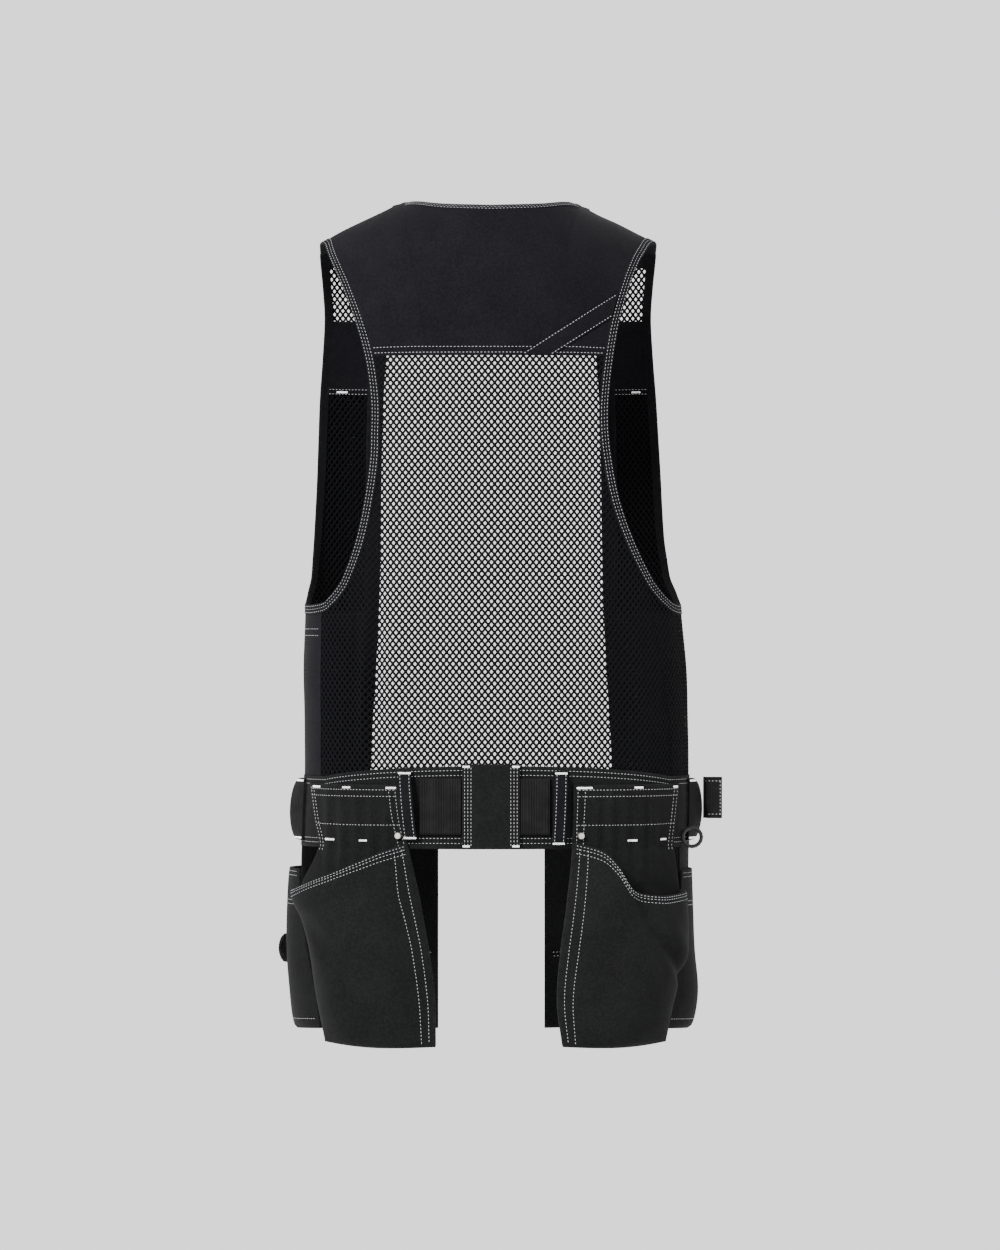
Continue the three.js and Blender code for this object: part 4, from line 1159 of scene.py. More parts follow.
@dataclass
class Net:
    """Knitted net: a lattice of lens-shaped strands round rounded-diamond holes."""

    name: str
    node: str
    surface: Surface
    inside: Callable[[Array], Array]
    reach: tuple[float, float, float, float]
    folds: Folds = field(default_factory=Folds)
    half: float = 3.36
    row: float = 4.1
    strand: float = 0.49

    def build(self, looks: Looks) -> bpy.types.Object:
        """Makes the net.

        Holes sit where the two counts of the lattice add up to an even number. The corners and
        middles of the strands between them are raised, and the holes' rims are not.

        Args:
            looks: the finishes.

        Returns:
            The object.
        """
        left, right, low, top = self.reach
        a0, a1 = math.floor(left / self.half), math.ceil(right / self.half)
        b0, b1 = math.floor(low / self.row), math.ceil(top / self.row)
        a, b = (part.ravel() for part in np.meshgrid(np.arange(a0, a1 + 1), np.arange(b0, b1 + 1)))
        even = (a + b) % 2 == 0
        a, b = a[even], b[even]
        keep = self.inside(self.surface(a * self.half, b * self.row))
        a, b = a[keep], b[keep]
        ring = np.array([(2, 0), (1, 1), (0, 2), (-1, 1), (-2, 0), (-1, -1), (0, -2), (1, -1)])
        keys = np.stack([2 * a[:, None] + ring[:, 0], 2 * b[:, None] + ring[:, 1]], -1)
        known, index = np.unique(keys.reshape(-1, 2), axis=0, return_inverse=True)
        outer = index.reshape(-1, 8)
        corner = known[:, 0] % 2 == 0
        size = np.where(ring[:, 0] * ring[:, 1] == 0, self.strand, self.strand * 1.15)
        rim = np.stack([2 * a[:, None] + ring[:, 0] * size, 2 * b[:, None] + ring[:, 1] * size], -1)
        flat = np.concatenate([known, rim.reshape(-1, 2)]) / 2 * (self.half, self.row)
        base = self.surface(flat[:, 0], flat[:, 1])
        step = 0.3
        s, z = flat[:, 0], flat[:, 1]
        across = self.surface(s + step, z) - self.surface(s - step, z)
        down = self.surface(s, z + step) - self.surface(s, z - step)
        normal = unit(np.cross(across, down))
        normal = normal * np.sign((normal * base * (1, 1, 0)).sum(-1, keepdims=True))
        base = base + normal * self.folds(base)[:, None]
        high = np.concatenate([np.where(corner, 0.6, 0.4), np.zeros(len(rim) * 8)])[:, None]
        count, knots = len(base), len(known)
        points = np.concatenate([base + normal * high, (base - normal * high)[:knots]])
        inner = knots + np.arange(len(a) * 8).reshape(-1, 8)
        ahead, inner_ahead = np.roll(outer, -1, 1), np.roll(inner, -1, 1)
        front = np.stack([outer, ahead, inner_ahead, inner], -1).reshape(-1, 4)
        back = np.concatenate([front[:, :2] + count, front[:, 2:]], 1)[:, ::-1]
        sides = np.sort(front[:, :2], 1)
        _, first, uses = np.unique(sides, axis=0, return_index=True, return_counts=True)
        border = front[first[uses == 1], :2]
        quads = np.concatenate([front, back, np.concatenate([border[:, ::-1], border + count], 1)])
        if signed_volume(points, quads) < 0:
            quads = quads[:, ::-1]
        piece = make_object(self.name, points, [quads], looks.material("net"))
        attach(piece, "root")
        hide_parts(self.node)
        w, x, y, z = (points[front[:, k]] for k in range(4))
        area = np.linalg.norm(np.cross(y - w, z - x), axis=1).sum() / 2 * METRES**2
        size = (np.ptp(a) + 2) * self.half * METRES, (np.ptp(b) + 2) * self.row * METRES
        max(area, LEAST_AREA * size[0] * size[1])
        log.info("%s: %d holes", self.name, len(a))
        return piece


def arc_lengths(points: Array, at: Array) -> Array:
    """Arc lengths along a line of points, from where at is nearest to nothing.

    Args:
        points: points along the line.
        at: the line's own measure at each point.

    Returns:
        The lengths.
    """
    run = np.concatenate([[0], np.cumsum(np.linalg.norm(np.diff(points, axis=0), axis=1))])
    return run - run[np.argmin(np.abs(at))]


@dataclass
class Upper:
    """Yoke, slanting strip, neck tape and armhole tapes."""

    looks: Looks
    thread: Thread
    yoke_ends: list[RowLine] = field(default_factory=list)
    strip_ends: list[float] = field(default_factory=list)

    def yoke_height(self, x: Array, r: Array) -> Array:
        """Heights of the yoke's rows: over the rounded top, then straight to the hem.

        Args:
            x: places across.
            r: shares down.

        Returns:
            The heights.
        """
        clear, turned = NECK_BINDING * 0.4, 0.75
        round_share = np.sqrt(np.maximum(0, 1 - (x / (NECK_HALF + clear)) ** 2))
        top = top_point(x, np.maximum(0.05, (NECK_DEPTH + clear) * round_share))[..., 2]
        low = ridge(x) - ROUNDED_SHARE * (ridge(x) + YOKE_DROP)
        rounded = mix(low, top, np.cos(math.pi / 2 * np.minimum(r / turned, 1)))
        return np.where(r < turned, rounded, mix(low, -YOKE_DROP, (r - turned) / (1 - turned)))

    def yoke_point(self, c: Array, r: Array) -> Array:
        """The yoke's surface, between the two armhole tapes.

        Args:
            c: shares across.
            r: shares down.

        Returns:
            The points.
        """
        if not self.yoke_ends:
            self.yoke_ends = [
                RowLine(lambda rows, side=side: self.yoke_end(side, rows)) for side in SIDES
            ]
        x = mix(self.yoke_ends[0](r), self.yoke_ends[1](r), c)
        return face_point(Face.BACK, x, self.yoke_height(x, np.asarray(r, float)))

    def yoke_end(self, side: Side, rows: Array) -> Array:
        """Place across at which each row of the yoke runs under the armhole tape.

        Args:
            side: left or right.
            rows: shares down.

        Returns:
            The places.
        """
        clear = TAPE_CLEAR - TUCK

        def miss(at: Array) -> Array:
            """What the row's height differs by."""
            place = beside_edge(Face.BACK, side, at, clear)
            return self.yoke_height(place[..., 0], rows) - place[..., 2]

        level = settle(np.full_like(rows, -YOKE_DROP / 2), miss)
        return beside_edge(Face.BACK, side, level, clear)[..., 0]

    def strip_point(self, c: Array, r: Array) -> Array:
        """The slanting strip's surface, from the hem up to the right armhole tape.

        Args:
            c: shares along it.
            r: shares across it, from its upper edge.

        Returns:
            The points.
        """
        slope, foot = STRIP_SLOPE, -YOKE_DROP + SEAM_GAP
        starts = np.array(STRIP_STARTS)
        if not self.strip_ends:
            def miss(x: Array) -> Array:
                """How far the strip's ends are from the tape."""
                edge = beside_edge(Face.BACK, Side.RIGHT, foot + (x - starts) * slope, TAPE_CLEAR)
                return edge[..., 0] - x

            self.strip_ends = list(settle(starts, miss) - SEAM_GAP)
        places = []
        for start, end in zip(starts, self.strip_ends):
            x = mix(start, end, c)
            places.append((x, foot + (x - start) * slope))
        (upper_x, upper_z), (lower_x, lower_z) = places
        return face_point(Face.BACK, mix(upper_x, lower_x, r), mix(upper_z, lower_z, r))

    def armhole(self, side: Side) -> Tape:
        """The armhole's tape: down the back edge, under the arm and up the front edge.

        Args:
            side: left or right.

        Returns:
            The tape.
        """
        def levels(at: tuple[float, ...]) -> Array:
            """Heights of a table's rows, with one more between each two."""
            rows = np.array(at)
            return -ARMHOLE_DROP * np.sort(np.concatenate([rows, (rows[1:] + rows[:-1]) / 2]))

        behind, ahead = levels(BACK_AT), levels(FRONT_AT)[1:][::-1]
        crest = edge_x(Face.FRONT, side, np.array(-ARMHOLE_DROP * FRONT_AT[0]))
        low = UNDER_ARM
        under = side.value * math.pi / 2
        rear = turn_of(Face.BACK, edge_x(Face.BACK, side, behind[-1]), behind[-1])
        fore = turn_of(Face.FRONT, edge_x(Face.FRONT, side, ahead[0]), ahead[0])
        thirds = np.array([1 / 3, 2 / 3])
        first = mix(rear, under, np.array([1 / 3, 2 / 3, 1]))
        turns = np.concatenate([first, mix(under, fore, thirds)])
        heights = np.concatenate([np.full(3, low), mix(low, ahead[0], thirds**1.6)])
        step = 1e-3
        across = turn_point(turns + step, heights) - turn_point(turns - step, heights)
        up = turn_point(turns, heights + step) - turn_point(turns, heights - step)
        stations = [np.array([[crest, 0, ridge(crest)]])]
        normals = [unit(np.array([[side.value, 0, 2.0]]))]
        for face, z in ((Face.BACK, behind), (Face.FRONT, ahead)):
            place = edge_point(face, side, z)
            stations.append(place)
            normals.append(form_normal(face, place[:, 0], place[:, 2]))
            if face is Face.BACK:
                stations.append(turn_point(turns, heights))
                normals.append(unit(np.cross(across, up)))
        name = f"armhole_binding_{side.label}"
        return Tape(
            *pair(name), np.concatenate(stations), np.concatenate(normals),
            BINDING_WIDTH, BINDING, True,
        )

    def neck(self) -> Tape:
        """The tape round the back of the neck."""
        turns = NECK_TURN * np.linspace(-1, 1, 17)
        wide, deep = NECK_HALF + NECK_BINDING / 2, NECK_DEPTH + NECK_BINDING / 2
        place = top_point(wide * np.sin(turns), deep * np.cos(turns))
        below = np.minimum(place[:, 2], ridge(place[:, 0]) - 0.05)
        normals = form_normal(Face.BACK, place[:, 0], below)
        return Tape("neck_tape_look", "neck_binding", place, normals, NECK_BINDING, BINDING, False)

    def build(self) -> None:
        """Makes the pieces and their stitching."""
        creases = (
            Crease((-118, -60), (-112, -160), 9, 1.0),
            Crease((-95, -110), (-70, -166), 10, 0.8),
            Crease((60, -90), (20, -160), 12, 0.7),
            Crease((110, -50), (60, -120), 10, 0.6),
        )
        yoke = Sheet(
            "yoke_look", "back_yoke", "yoke_cloth", self.yoke_point, 150, 90,
            CLOTH, -CLOTH / 2, Folds(creases, 0.35),
        )
        yoke.build(self.looks)
        t = np.linspace(0.012, 0.988, 300)
        yoke.sew_across(self.thread, t, 0.93, 0.975)
        strip = Sheet(
            *pair("yoke_strip"), "yoke_cloth", self.strip_point, 50, 16, 1.0, CLOTH / 2 + 0.3,
            Folds(creases, 0.35),
        )
        strip.build(self.looks)
        strip.sew_across(self.thread, t, 0.06, 0.94)
        for side in SIDES:
            tape = self.armhole(side)
            tape.build(self.looks)
            for share in (-0.62, 0.0, 0.62):
                self.thread.sew(*tape.line(share))
        neck = self.neck()
        neck.build(self.looks)
        for share in (-0.6, 0.0, 0.6):
            self.thread.sew(*neck.line(share))


@dataclass
class Nets:
    """The openwork of the back, the sides and the fronts."""

    looks: Looks

    def back(self) -> Net:
        """The back net, from the yoke's hem to the belt and between tapes and side seams."""
        x = np.linspace(-199, 199, 400)
        lengths = arc_lengths(face_point(Face.BACK, x, np.full_like(x, BACK_NET_MIDDLE)), x)

        def surface(s: Array, z: Array) -> Array:
            """The form behind, by length across."""
            return face_point(Face.BACK, np.interp(s, lengths, x), np.minimum(z, -YOKE_DROP + 8))

        def inside(points: Array) -> Array:
            """Between the tapes or seams, under the hem and above the belt.

            Args:
                points: points of the net.

            Returns:
                Which of them the net covers.
            """
            px, pz = points[..., 0], points[..., 2]
            fits = (pz < -YOKE_DROP + 1) & (pz > belt_top(turn_of(Face.BACK, px, pz)) - 3)
            for side in SIDES:
                edge = np.abs(edge_x(Face.BACK, side, pz)) - 1.5
                tape = np.where(pz > -ARMHOLE_DROP, edge, 999)
                limit = np.minimum(tape, np.abs(seam_x(side, pz)))
                fits &= px * side.value < limit
            return fits

        folds = Folds(
            (
                Crease((-133, -440), (-136, -600), 6, 5.0),
                Crease((-118, -330), (-122, -600), 8, -3.5),
                Crease((-100, -420), (-104, -600), 8, 1.6),
                Crease((150, -430), (160, -600), 8, 2.0),
                Crease((134, -400), (140, -600), 8, -1.8),
            ),
            0.9,
        )
        return Net("back_net_look", "back_mesh", surface, inside, (-215, 215, -620, -160), folds)

    def side(self, side: Side) -> Net:
        """A side net, from the side seam round towards the front.

        Args:
            side: left or right.

        Returns:
            The net.
        """
        turns = np.linspace(-BELT_END, BELT_END, 400)
        lengths = arc_lengths(turn_point(turns, np.full_like(turns, SIDE_NET_MIDDLE)), turns)

        def surface(s: Array, z: Array) -> Array:
            """The form by length round it."""
            return turn_point(np.interp(s, lengths, turns), z)

        def inside(points: Array) -> Array:
            """Beyond the seam, below the tape and above the belt.

            Args:
                points: points of the net.

            Returns:
                Which of them the net covers.
            """
            px, py, pz = points[..., 0], points[..., 1], points[..., 2]
            across = px * side.value
            fits = (across > np.abs(seam_x(side, pz))) & (pz > -BELT_DROP - BELT_DIP - 3)
            tape = np.abs(edge_x(Face.BACK, side, pz)) + 1
            fits &= np.where(pz > -ARMHOLE_DROP - 2, (across < tape) & (py < 0), True)
            return fits & ((across < WAIST_HALF * SIDE_NET_REACH) if side is Side.LEFT else True)

        span = (-250, 0) if side is Side.LEFT else (0, 292)
        name = f"side_mesh_{side.label}"
        return Net(*pair(name), surface, inside, (*span, -620, -390), Folds((), 0.8))

    def front(self, side: Side, node: str, top: float, bottom: float) -> Net:
        """A front net between two heights, from the front edge tape to the armhole tape.

        Args:
            side: left or right.
            node: what the node is called, without its side.
            top: its upper edge.
            bottom: its lower edge.

        Returns:
            The net.
        """
        x = np.linspace(-212, 212, 400)
        lengths = arc_lengths(face_point(Face.FRONT, x, np.full_like(x, FRONT_NET_MIDDLE)), x)

        def surface(s: Array, z: Array) -> Array:
            """The form in front, by length across."""
            return face_point(Face.FRONT, np.interp(s, lengths, x), z)

        def inside(points: Array) -> Array:
            """Between the two tapes and the two heights.

            Args:
                points: points of the net.

            Returns:
                Which of them the net covers.
            """
            px, pz = points[..., 0] * side.value, points[..., 2]
            inner = np.abs(beside_placket(side, pz, PLACKET - 2))
            outer = np.abs(edge_x(Face.FRONT, side, pz)) - 1.5 + corner_reach(side, pz)
            return (px > inner) & (px < outer) & (pz < top + 1) & (pz > bottom - 1)

        span = (-245, -80) if side is Side.LEFT else (80, 245)
        name = f"{node}_{side.label}"
        return Net(*pair(name), surface, inside, (*span, bottom - 8, top + 8))

    def build(self) -> None:
        """Makes all the nets."""
        self.back().build(self.looks)
        for side in SIDES:
            self.side(side).build(self.looks)
            self.front(side, "front_mesh_upper", -STRAP_DROP, CHEST_TOP).build(self.looks)
            self.front(side, "front_mesh", CHEST_BOTTOM, FRONT_NET_BOTTOM).build(self.looks)


@dataclass
class Fronts:
    """Shoulder ends, front edge tapes, chest panels and pockets, and the lower cloth."""

    looks: Looks
    thread: Thread
    tacks: Thread

    def placket(self, side: Side) -> Tape:
        """The tape down the open front edge.

        Args:
            side: left or right.

        Returns:
            The tape.
        """
        share = mix(0.02, 1, shares(4))
        x = beside_placket(side, front_height(front_edge(side, np.zeros(5)), share), PLACKET / 2)
        z = front_height(x, share)
        low = mix(z[-1], WAIST_LINE, shares(14)[1:])
        x = np.concatenate([x, beside_placket(side, low, PLACKET / 2)])
        z = np.concatenate([z, low])
        place, normals = face_point(Face.FRONT, x, z), form_normal(Face.FRONT, x, z)
        name = f"front_placket_{side.label}"
        return Tape(*pair(name), place, normals, PLACKET, BAND, False)

    def strap_point(self, side: Side) -> Surface:
        """The front end of a shoulder, from the ridge over its rounded front.

        Args:
            side: left or right.

        Returns:
            The surface.
        """

        def height(x: Array, r: Array) -> Array:
            """Heights of the rows."""
            foot = np.arccos(1 - (ridge(x) + STRAP_DROP) / FRONT_ROUNDING) / (math.pi / 2)
            return front_height(x, mix(0.002, foot, r))

        def miss(at: Array, rows: Array) -> Array:
            """What the row's height differs by."""
            place = beside_edge(Face.FRONT, side, at, TAPE_CLEAR - TUCK)
            return height(place[..., 0], rows) - place[..., 2]

        def beside(rows: Array) -> Array:
            """Place across beside the armhole tape at each row."""
            level = settle(np.full_like(rows, -STRAP_DROP / 2), lambda at: miss(at, rows))
            return beside_edge(Face.FRONT, side, level, TAPE_CLEAR - TUCK)[..., 0]

        outer = RowLine(beside)

        def point(c: Array, r: Array) -> Array:
            """The surface by its shares.

            Args:
                c: shares across.
                r: shares down.

            Returns:
                The points.
            """
            r = np.asarray(r, float)
            inner = beside_placket(side, height(front_edge(side, r * 0), r), PLACKET - 1)
            x = mix(inner, outer(r), c)
            return face_point(Face.FRONT, x, height(x, r))

        return point

    def span(self, side: Side, top: float, bottom: float) -> Surface:
        """A front piece between the two tapes, from one height to another.

        Args:
            side: left or right.
            top: its upper edge.
            bottom: its lower edge.

        Returns:
            The surface.
        """

        def beside(rows: Array) -> Array:
            """Place across under the armhole tape at each row."""
            z = mix(top, bottom, rows)
            under = beside_at(Face.FRONT, side, z, TAPE_CLEAR - TUCK)
            return under + side.value * corner_reach(side, z)

        outer = RowLine(beside)

        def point(c: Array, r: Array) -> Array:
            """The surface by its shares.

            Args:
                c: shares across.
                r: shares down.

            Returns:
                The points.
            """
            z = mix(top, bottom, np.asarray(r, float))
            inner = beside_placket(side, z, PLACKET - 1)
            return face_point(Face.FRONT, mix(inner, outer(r), c), z)

        return point

    def lower_point(self, side: Side) -> Surface:
        """The cloth of a lower front, from the side net to the front edge tape.

        Args:
            side: left or right.

        Returns:
            The surface.
        """

        def point(c: Array, r: Array) -> Array:
            """The surface by its shares.

            Args:
                c: shares across.
                r: shares down.

            Returns:
                The points.
            """
            r = np.asarray(r, float)
            z = mix(FRONT_NET_BOTTOM, WAIST_LINE - 1, r)
            if side is Side.LEFT:
                start = turn_of(Face.BACK, np.full_like(z, -WAIST_HALF * SIDE_NET_REACH), z)
            else:
                start = np.full_like(z, BELT_END)
            end = turn_of(Face.FRONT, beside_placket(side, z, PLACKET - 1), z)
            return turn_point(mix(start, end, c), z)

        return point

    def build(self) -> None:
        """Makes the pieces and their stitching."""
        t = np.linspace(0.03, 0.97, 160)
        for side in SIDES:
            tape = self.placket(side)
            tape.build(self.looks)
            for share in (-0.7, 0.7):
                self.thread.sew(*tape.line(share))
            word, cloth = side.label, "yoke_cloth"
            strap = Sheet(
                *pair(f"shoulder_strap_{word}"), cloth, self.strap_point(side), 40, 40,
                CLOTH, -CLOTH / 2,
            )
            strap.build(self.looks)
            chest = Sheet(
                *pair(f"chest_panel_{word}"), cloth,
                self.span(side, CHEST_TOP, CHEST_BOTTOM - 4), 40, 40,
                CLOTH, -CLOTH / 2, Folds((), 0.7),
            )
            chest.build(self.looks)
            chest.sew_across(self.thread, t, 0.03, 0.9, 0.96)

            for level in (0.925, 0.985):
                chest.sew_inside(self.thread, t, level)
            points, normals = chest.skin(np.linspace(0.52, 0.78, 30), np.full(30, 0.96))
            self.tacks.tack(points - normals * (CLOTH + 0.2), -normals)

            def bulge(c: Array, r: Array) -> Array:
                """How far the chest pocket stands off the net."""
                round_off = np.sin(math.pi * c) ** 0.7 * np.sqrt(np.maximum(0, 1 - r**3))
                return NET / 2 + LAYER_GAP + CHEST_POCKET_BULGE * round_off

            pocket = Sheet(
                *pair(f"chest_pocket_{word}"), cloth,
                self.span(side, CHEST_BOTTOM - 2, FRONT_NET_BOTTOM - 2),
                48, 60, CLOTH, bulge, Folds((), 0.5),
            )
            pocket.build(self.looks)
            pocket.sew_across(self.thread, t, 0.02, 0.04)
            lower = Sheet(
                *pair(f"lower_front_{word}"), cloth, self.lower_point(side), 110, 44,
                CLOTH, -CLOTH / 2, Folds((), 0.9),
            )
            lower.build(self.looks)
            lower.sew_across(self.thread, t, 0.1, 0.14)


@dataclass
class Belt:
    """Belt bands, centre panel, elastic, loops, strap end, buckle and ring."""

    looks: Looks
    thread: Thread
    tacks: Thread

    def band(self, start: float, end: float, low: float = BELT_BOTTOM) -> Surface:
        """A run of the belt between two turns.

        Args:
            start: the turn where it starts.
            end: where it ends.
            low: the height of its lower edge.

        Returns:
            The surface.
        """

        def point(c: Array, r: Array) -> Array:
            """The surface by its shares.

            Args:
                c: shares across.
                r: shares down.

            Returns:
                The points.
            """
            turn = mix(start, end, c)
            return turn_point(turn, mix(belt_top(turn), low, r))

        return point

    def patch(
        self, left: float, right: float, top: float, low: float, slide: float = 0.0
    ) -> Surface:
        """A patch over the belt behind, sliding sideways from top to foot.

        Args:
            left: place across of one edge.
            right: place across of the other.
            top: its upper edge.
            low: its lower edge.
            slide: how far its foot is moved sideways.

        Returns:
            The surface.
        """

        def point(c: Array, r: Array) -> Array:
            """The surface by its shares.

            Args:
                c: shares across.
                r: shares down.

            Returns:
                The points.
            """
            return face_point(Face.BACK, mix(left, right, c) + slide * r, mix(top, low, r))

        return point

    def elastic(self, side: Side) -> None:
        """One ribbed elastic beside the centre panel, each rib a rounded ridge.

        Args:
            side: left or right.
        """
        inner, outer = ELASTIC_INNER * side.value, ELASTIC_OUTER[side] * side.value
        ribs = abs(outer - inner) / RIB_PITCH

        def lift(c: Array, r: Array) -> Array:
            """The ribs' height."""
            return OVER_BELT + 0.75 * np.abs(np.sin(math.pi * c * ribs)) ** 0.6 - 0.3

        name = f"belt_elastic_{side.label}"
        surface = self.patch(inner, outer, ELASTIC_TOP, ELASTIC_FOOT)
        Sheet(*pair(name), "webbing", surface, int(ribs * 8), 20, WEBBING, lift).build(self.looks)

    def loop(self, side: Side) -> None:
        """One belt loop, its ends tacked down and its middle standing off the belt.

        Args:
            side: left or right.
        """
        top, foot = LOOP_TOPS[side] * side.value, LOOP_FEET[side] * side.value
        seat = OVER_BELT + (CLOTH + LAYER_GAP if side is Side.LEFT else 0)
        low = BELT_BOTTOM + (9 if side is Side.LEFT else 3)

        def arch(c: Array, r: Array) -> Array:
            """The loop's height above the belt."""
            return seat + LOOP_STAND * np.sin(math.pi * r) ** 0.5

        name = f"belt_loop_{side.label}"
        surface = self.patch(top - LOOP_HALF, top + LOOP_HALF, -BELT_DROP - 5, low, foot - top)
        loop = Sheet(*pair(name), "tape", surface, 14, 70, WEBBING, arch)
        loop.build(self.looks)
        t = np.linspace(0.04, 0.96, 120)
        loop.sew_down(self.thread, t, 0.15, 0.85)
        for level in (0.035, 0.965):
            loop.tack(self.tacks, 0.02, 0.98, level, 30)

    def side_loop(self, side: Side) -> None:
        """One webbing loop at the belt's side.

        Args:
            side: left or right.
        """
        spread, top = SIDE_LOOP_WIDTH / WAIST_HALF / 2, -BELT_DROP - BELT_DIP - 3

        def point(c: Array, r: Array) -> Array:
            """The surface by its shares.

            Args:
                c: shares across.
                r: shares down.

            Returns:
                The points.
            """
            turn = side.value * (SIDE_LOOP_TURN - 0.06) + mix(-spread, spread, c)
            return turn_point(turn, mix(top, top - SIDE_LOOP_HEIGHT, r))

        def arch(c: Array, r: Array) -> Array:
            """The loop's height above the belt, least at its rear edge."""
            ahead = c if side is Side.RIGHT else 1 - c
            return OVER_BELT + (1.0 + 10.0 * ahead) * np.sin(math.pi * r) ** 0.4

        name = f"side_loop_{side.label}"
        loop = Sheet(*pair(name), "webbing", point, 24, 80, WEBBING, arch)
        loop.build(self.looks)
        for level in (0.04, 0.96):
            loop.tack(self.tacks, 0.08, 0.92, level, 40)

    def strap_end(self) -> None:
        """The folded end of the right strap, which stands out past the loop."""

        def point(c: Array, r: Array) -> Array:
            """A flat patch, bowed a little across and curling at its foot."""
            x, z = mix(*STRAP_END_X, c), mix(*STRAP_END_Z, r)
            return np.stack([x, STRAP_END_Y - 0.5 * np.sin(math.pi * c) + 1.2 * r**3, z], -1)

        end = Sheet(*pair("strap_end_right"), "webbing", point, 24, 40, 2.4)
        end.build(self.looks)
        t = np.linspace(0.08, 0.92, 60)
        for level in (0.1, 0.9):
            end.sew_across(self.thread, t, level)
            end.sew_down(self.thread, t, level)

    def buckle(self) -> None:
        """The fastened buckle: a rounded plate with a raised rim, two slots and a tongue."""
        middle = (belt_top(np.array(math.pi)) + BELT_BOTTOM) / 2
        face = face_point(Face.FRONT, np.array(0.0), middle)[1] + OVER_BELT

        def point(c: Array, r: Array) -> Array:
            """A flat plate with rounded corners, its rows squeezed near the ends.

            Args:
                c: shares across.
                r: shares down.

            Returns:
                The points.
            """
            u, v = 2 * c - 1, 1 - 2 * r
            x = BUCKLE_WIDE * u * np.sqrt(1 - 0.06 * v**8)
            z = middle + BUCKLE_HIGH * v * np.sqrt(1 - 0.06 * u**8)
            return np.stack([x, face + x * 0, z], -1)

        def relief(c: Array, r: Array) -> Array:
            """The plate's height: rounded edges, slots beside a raised tongue.

            Args:
                c: shares across.
                r: shares down.

            Returns:
                The heights.
            """
            u, v = np.abs(2 * c - 1), np.abs(2 * r - 1)
            edge = np.clip((1 - np.maximum(u, v)) / 0.12, 0, 1)
            slots = np.exp(-(((u - 0.52) / 0.07) ** 4)) * (v < 0.7)
            tongue = (u < 0.4) * np.clip((0.8 - v) / 0.1, 0, 1)
            return BUCKLE_THICK * np.sqrt(edge * (2 - edge)) - 3.5 * slots + 1.5 * tongue

        c, r = np.meshgrid(shares(70), shares(64))
        base = point(c, r)
        front = base + np.stack([c * 0, 1.5 + relief(c, r), c * 0], -1)
        quads, rim = wall_quads(*c.shape)
        points = np.concatenate([front.reshape(-1, 3), base.reshape(-1, 3)])
        if signed_volume(points, quads) < 0:
            quads = quads[:, ::-1]
        material = self.looks.material("plastic")
        piece = make_object("front_buckle_look", points, [quads], material, flat=rim)
        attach(piece, "root")
        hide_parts("front_buckle")

    def build(self) -> None:
        """Makes the pieces and their stitching."""
        wide = np.linspace(0.01, 0.99, 500)
        band = Sheet(
            *pair("belt_band"), "holster_cloth", self.band(-BELT_END, BELT_END), 240, 26, BAND,
            -BAND / 2, Folds((), 0.5),
        )
        band.build(self.looks)
        band.sew_across(self.thread, wide, 0.05, 0.11, 0.87, 0.93)
        for side in SIDES:
            start = side.value * (BELT_END + SEAM_GAP / WAIST_DEPTH)
            end = float(turn_of(Face.FRONT, np.array(side.value * 15.5), np.array(-BELT_DROP)))
            name = f"front_belt_{side.label}"
            run = self.band(start, end)
            Sheet(*pair(name), "webbing", run, 90, 26, BAND, -BAND / 2).build(self.looks)
            self.elastic(side)
            self.loop(side)
            self.side_loop(side)
        panel = Sheet(
            *pair("belt_centre_panel"), "holster_cloth",
            self.patch(-30, 30, -BELT_DROP + 2, BELT_BOTTOM), 50, 60,
            BAND, OVER_BELT, Folds((), 0.4),
        )
        panel.build(self.looks)
        t = np.linspace(0.03, 0.97, 160)
        panel.sew_down(self.thread, t, 0.045, 0.1, 0.155, 0.845, 0.9, 0.955)
        for share in (0.07, 0.93):
            for level in (0.03, 0.965):
                panel.tack(self.tacks, share - 0.06, share + 0.06, level)
        self.buckle()
        self.strap_end()
        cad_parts["d_ring_right"].material_slots[0].material = self.looks.material("plastic")


# The pouches' folds, and the boards' bar tacks as shares across and down
POUCH_CREASES = {
    Side.LEFT: (
        Crease((-170, -760), (-120, -830), 9, -4.0),
        Crease((-95, -720), (-90, -860), 14, 2.5),
        Crease((-150, -790), (-140, -880), 12, 2.5),
    ),
    Side.RIGHT: (
        Crease((139, -722), (152, -775), 6, -7.5),
        Crease((152, -775), (186, -830), 6, -8.0),
        Crease((150, -722), (164, -770), 8, 3.0),
        Crease((164, -770), (190, -812), 8, 3.0),
    ),
}
BOARD_TACKS = {
    Side.LEFT: (
        (0.02, 0.1, 0.012), (0.42, 0.5, 0.012), (0.8, 0.93, 0.012),
        (0.36, 0.44, 0.215), (0.74, 0.86, 0.215),
    ),
    Side.RIGHT: (
        (0.02, 0.13, 0.012), (0.46, 0.54, 0.012), (0.9, 0.97, 0.012),
        (0.44, 0.53, 0.215), (0.8, 0.88, 0.215),
    ),
}


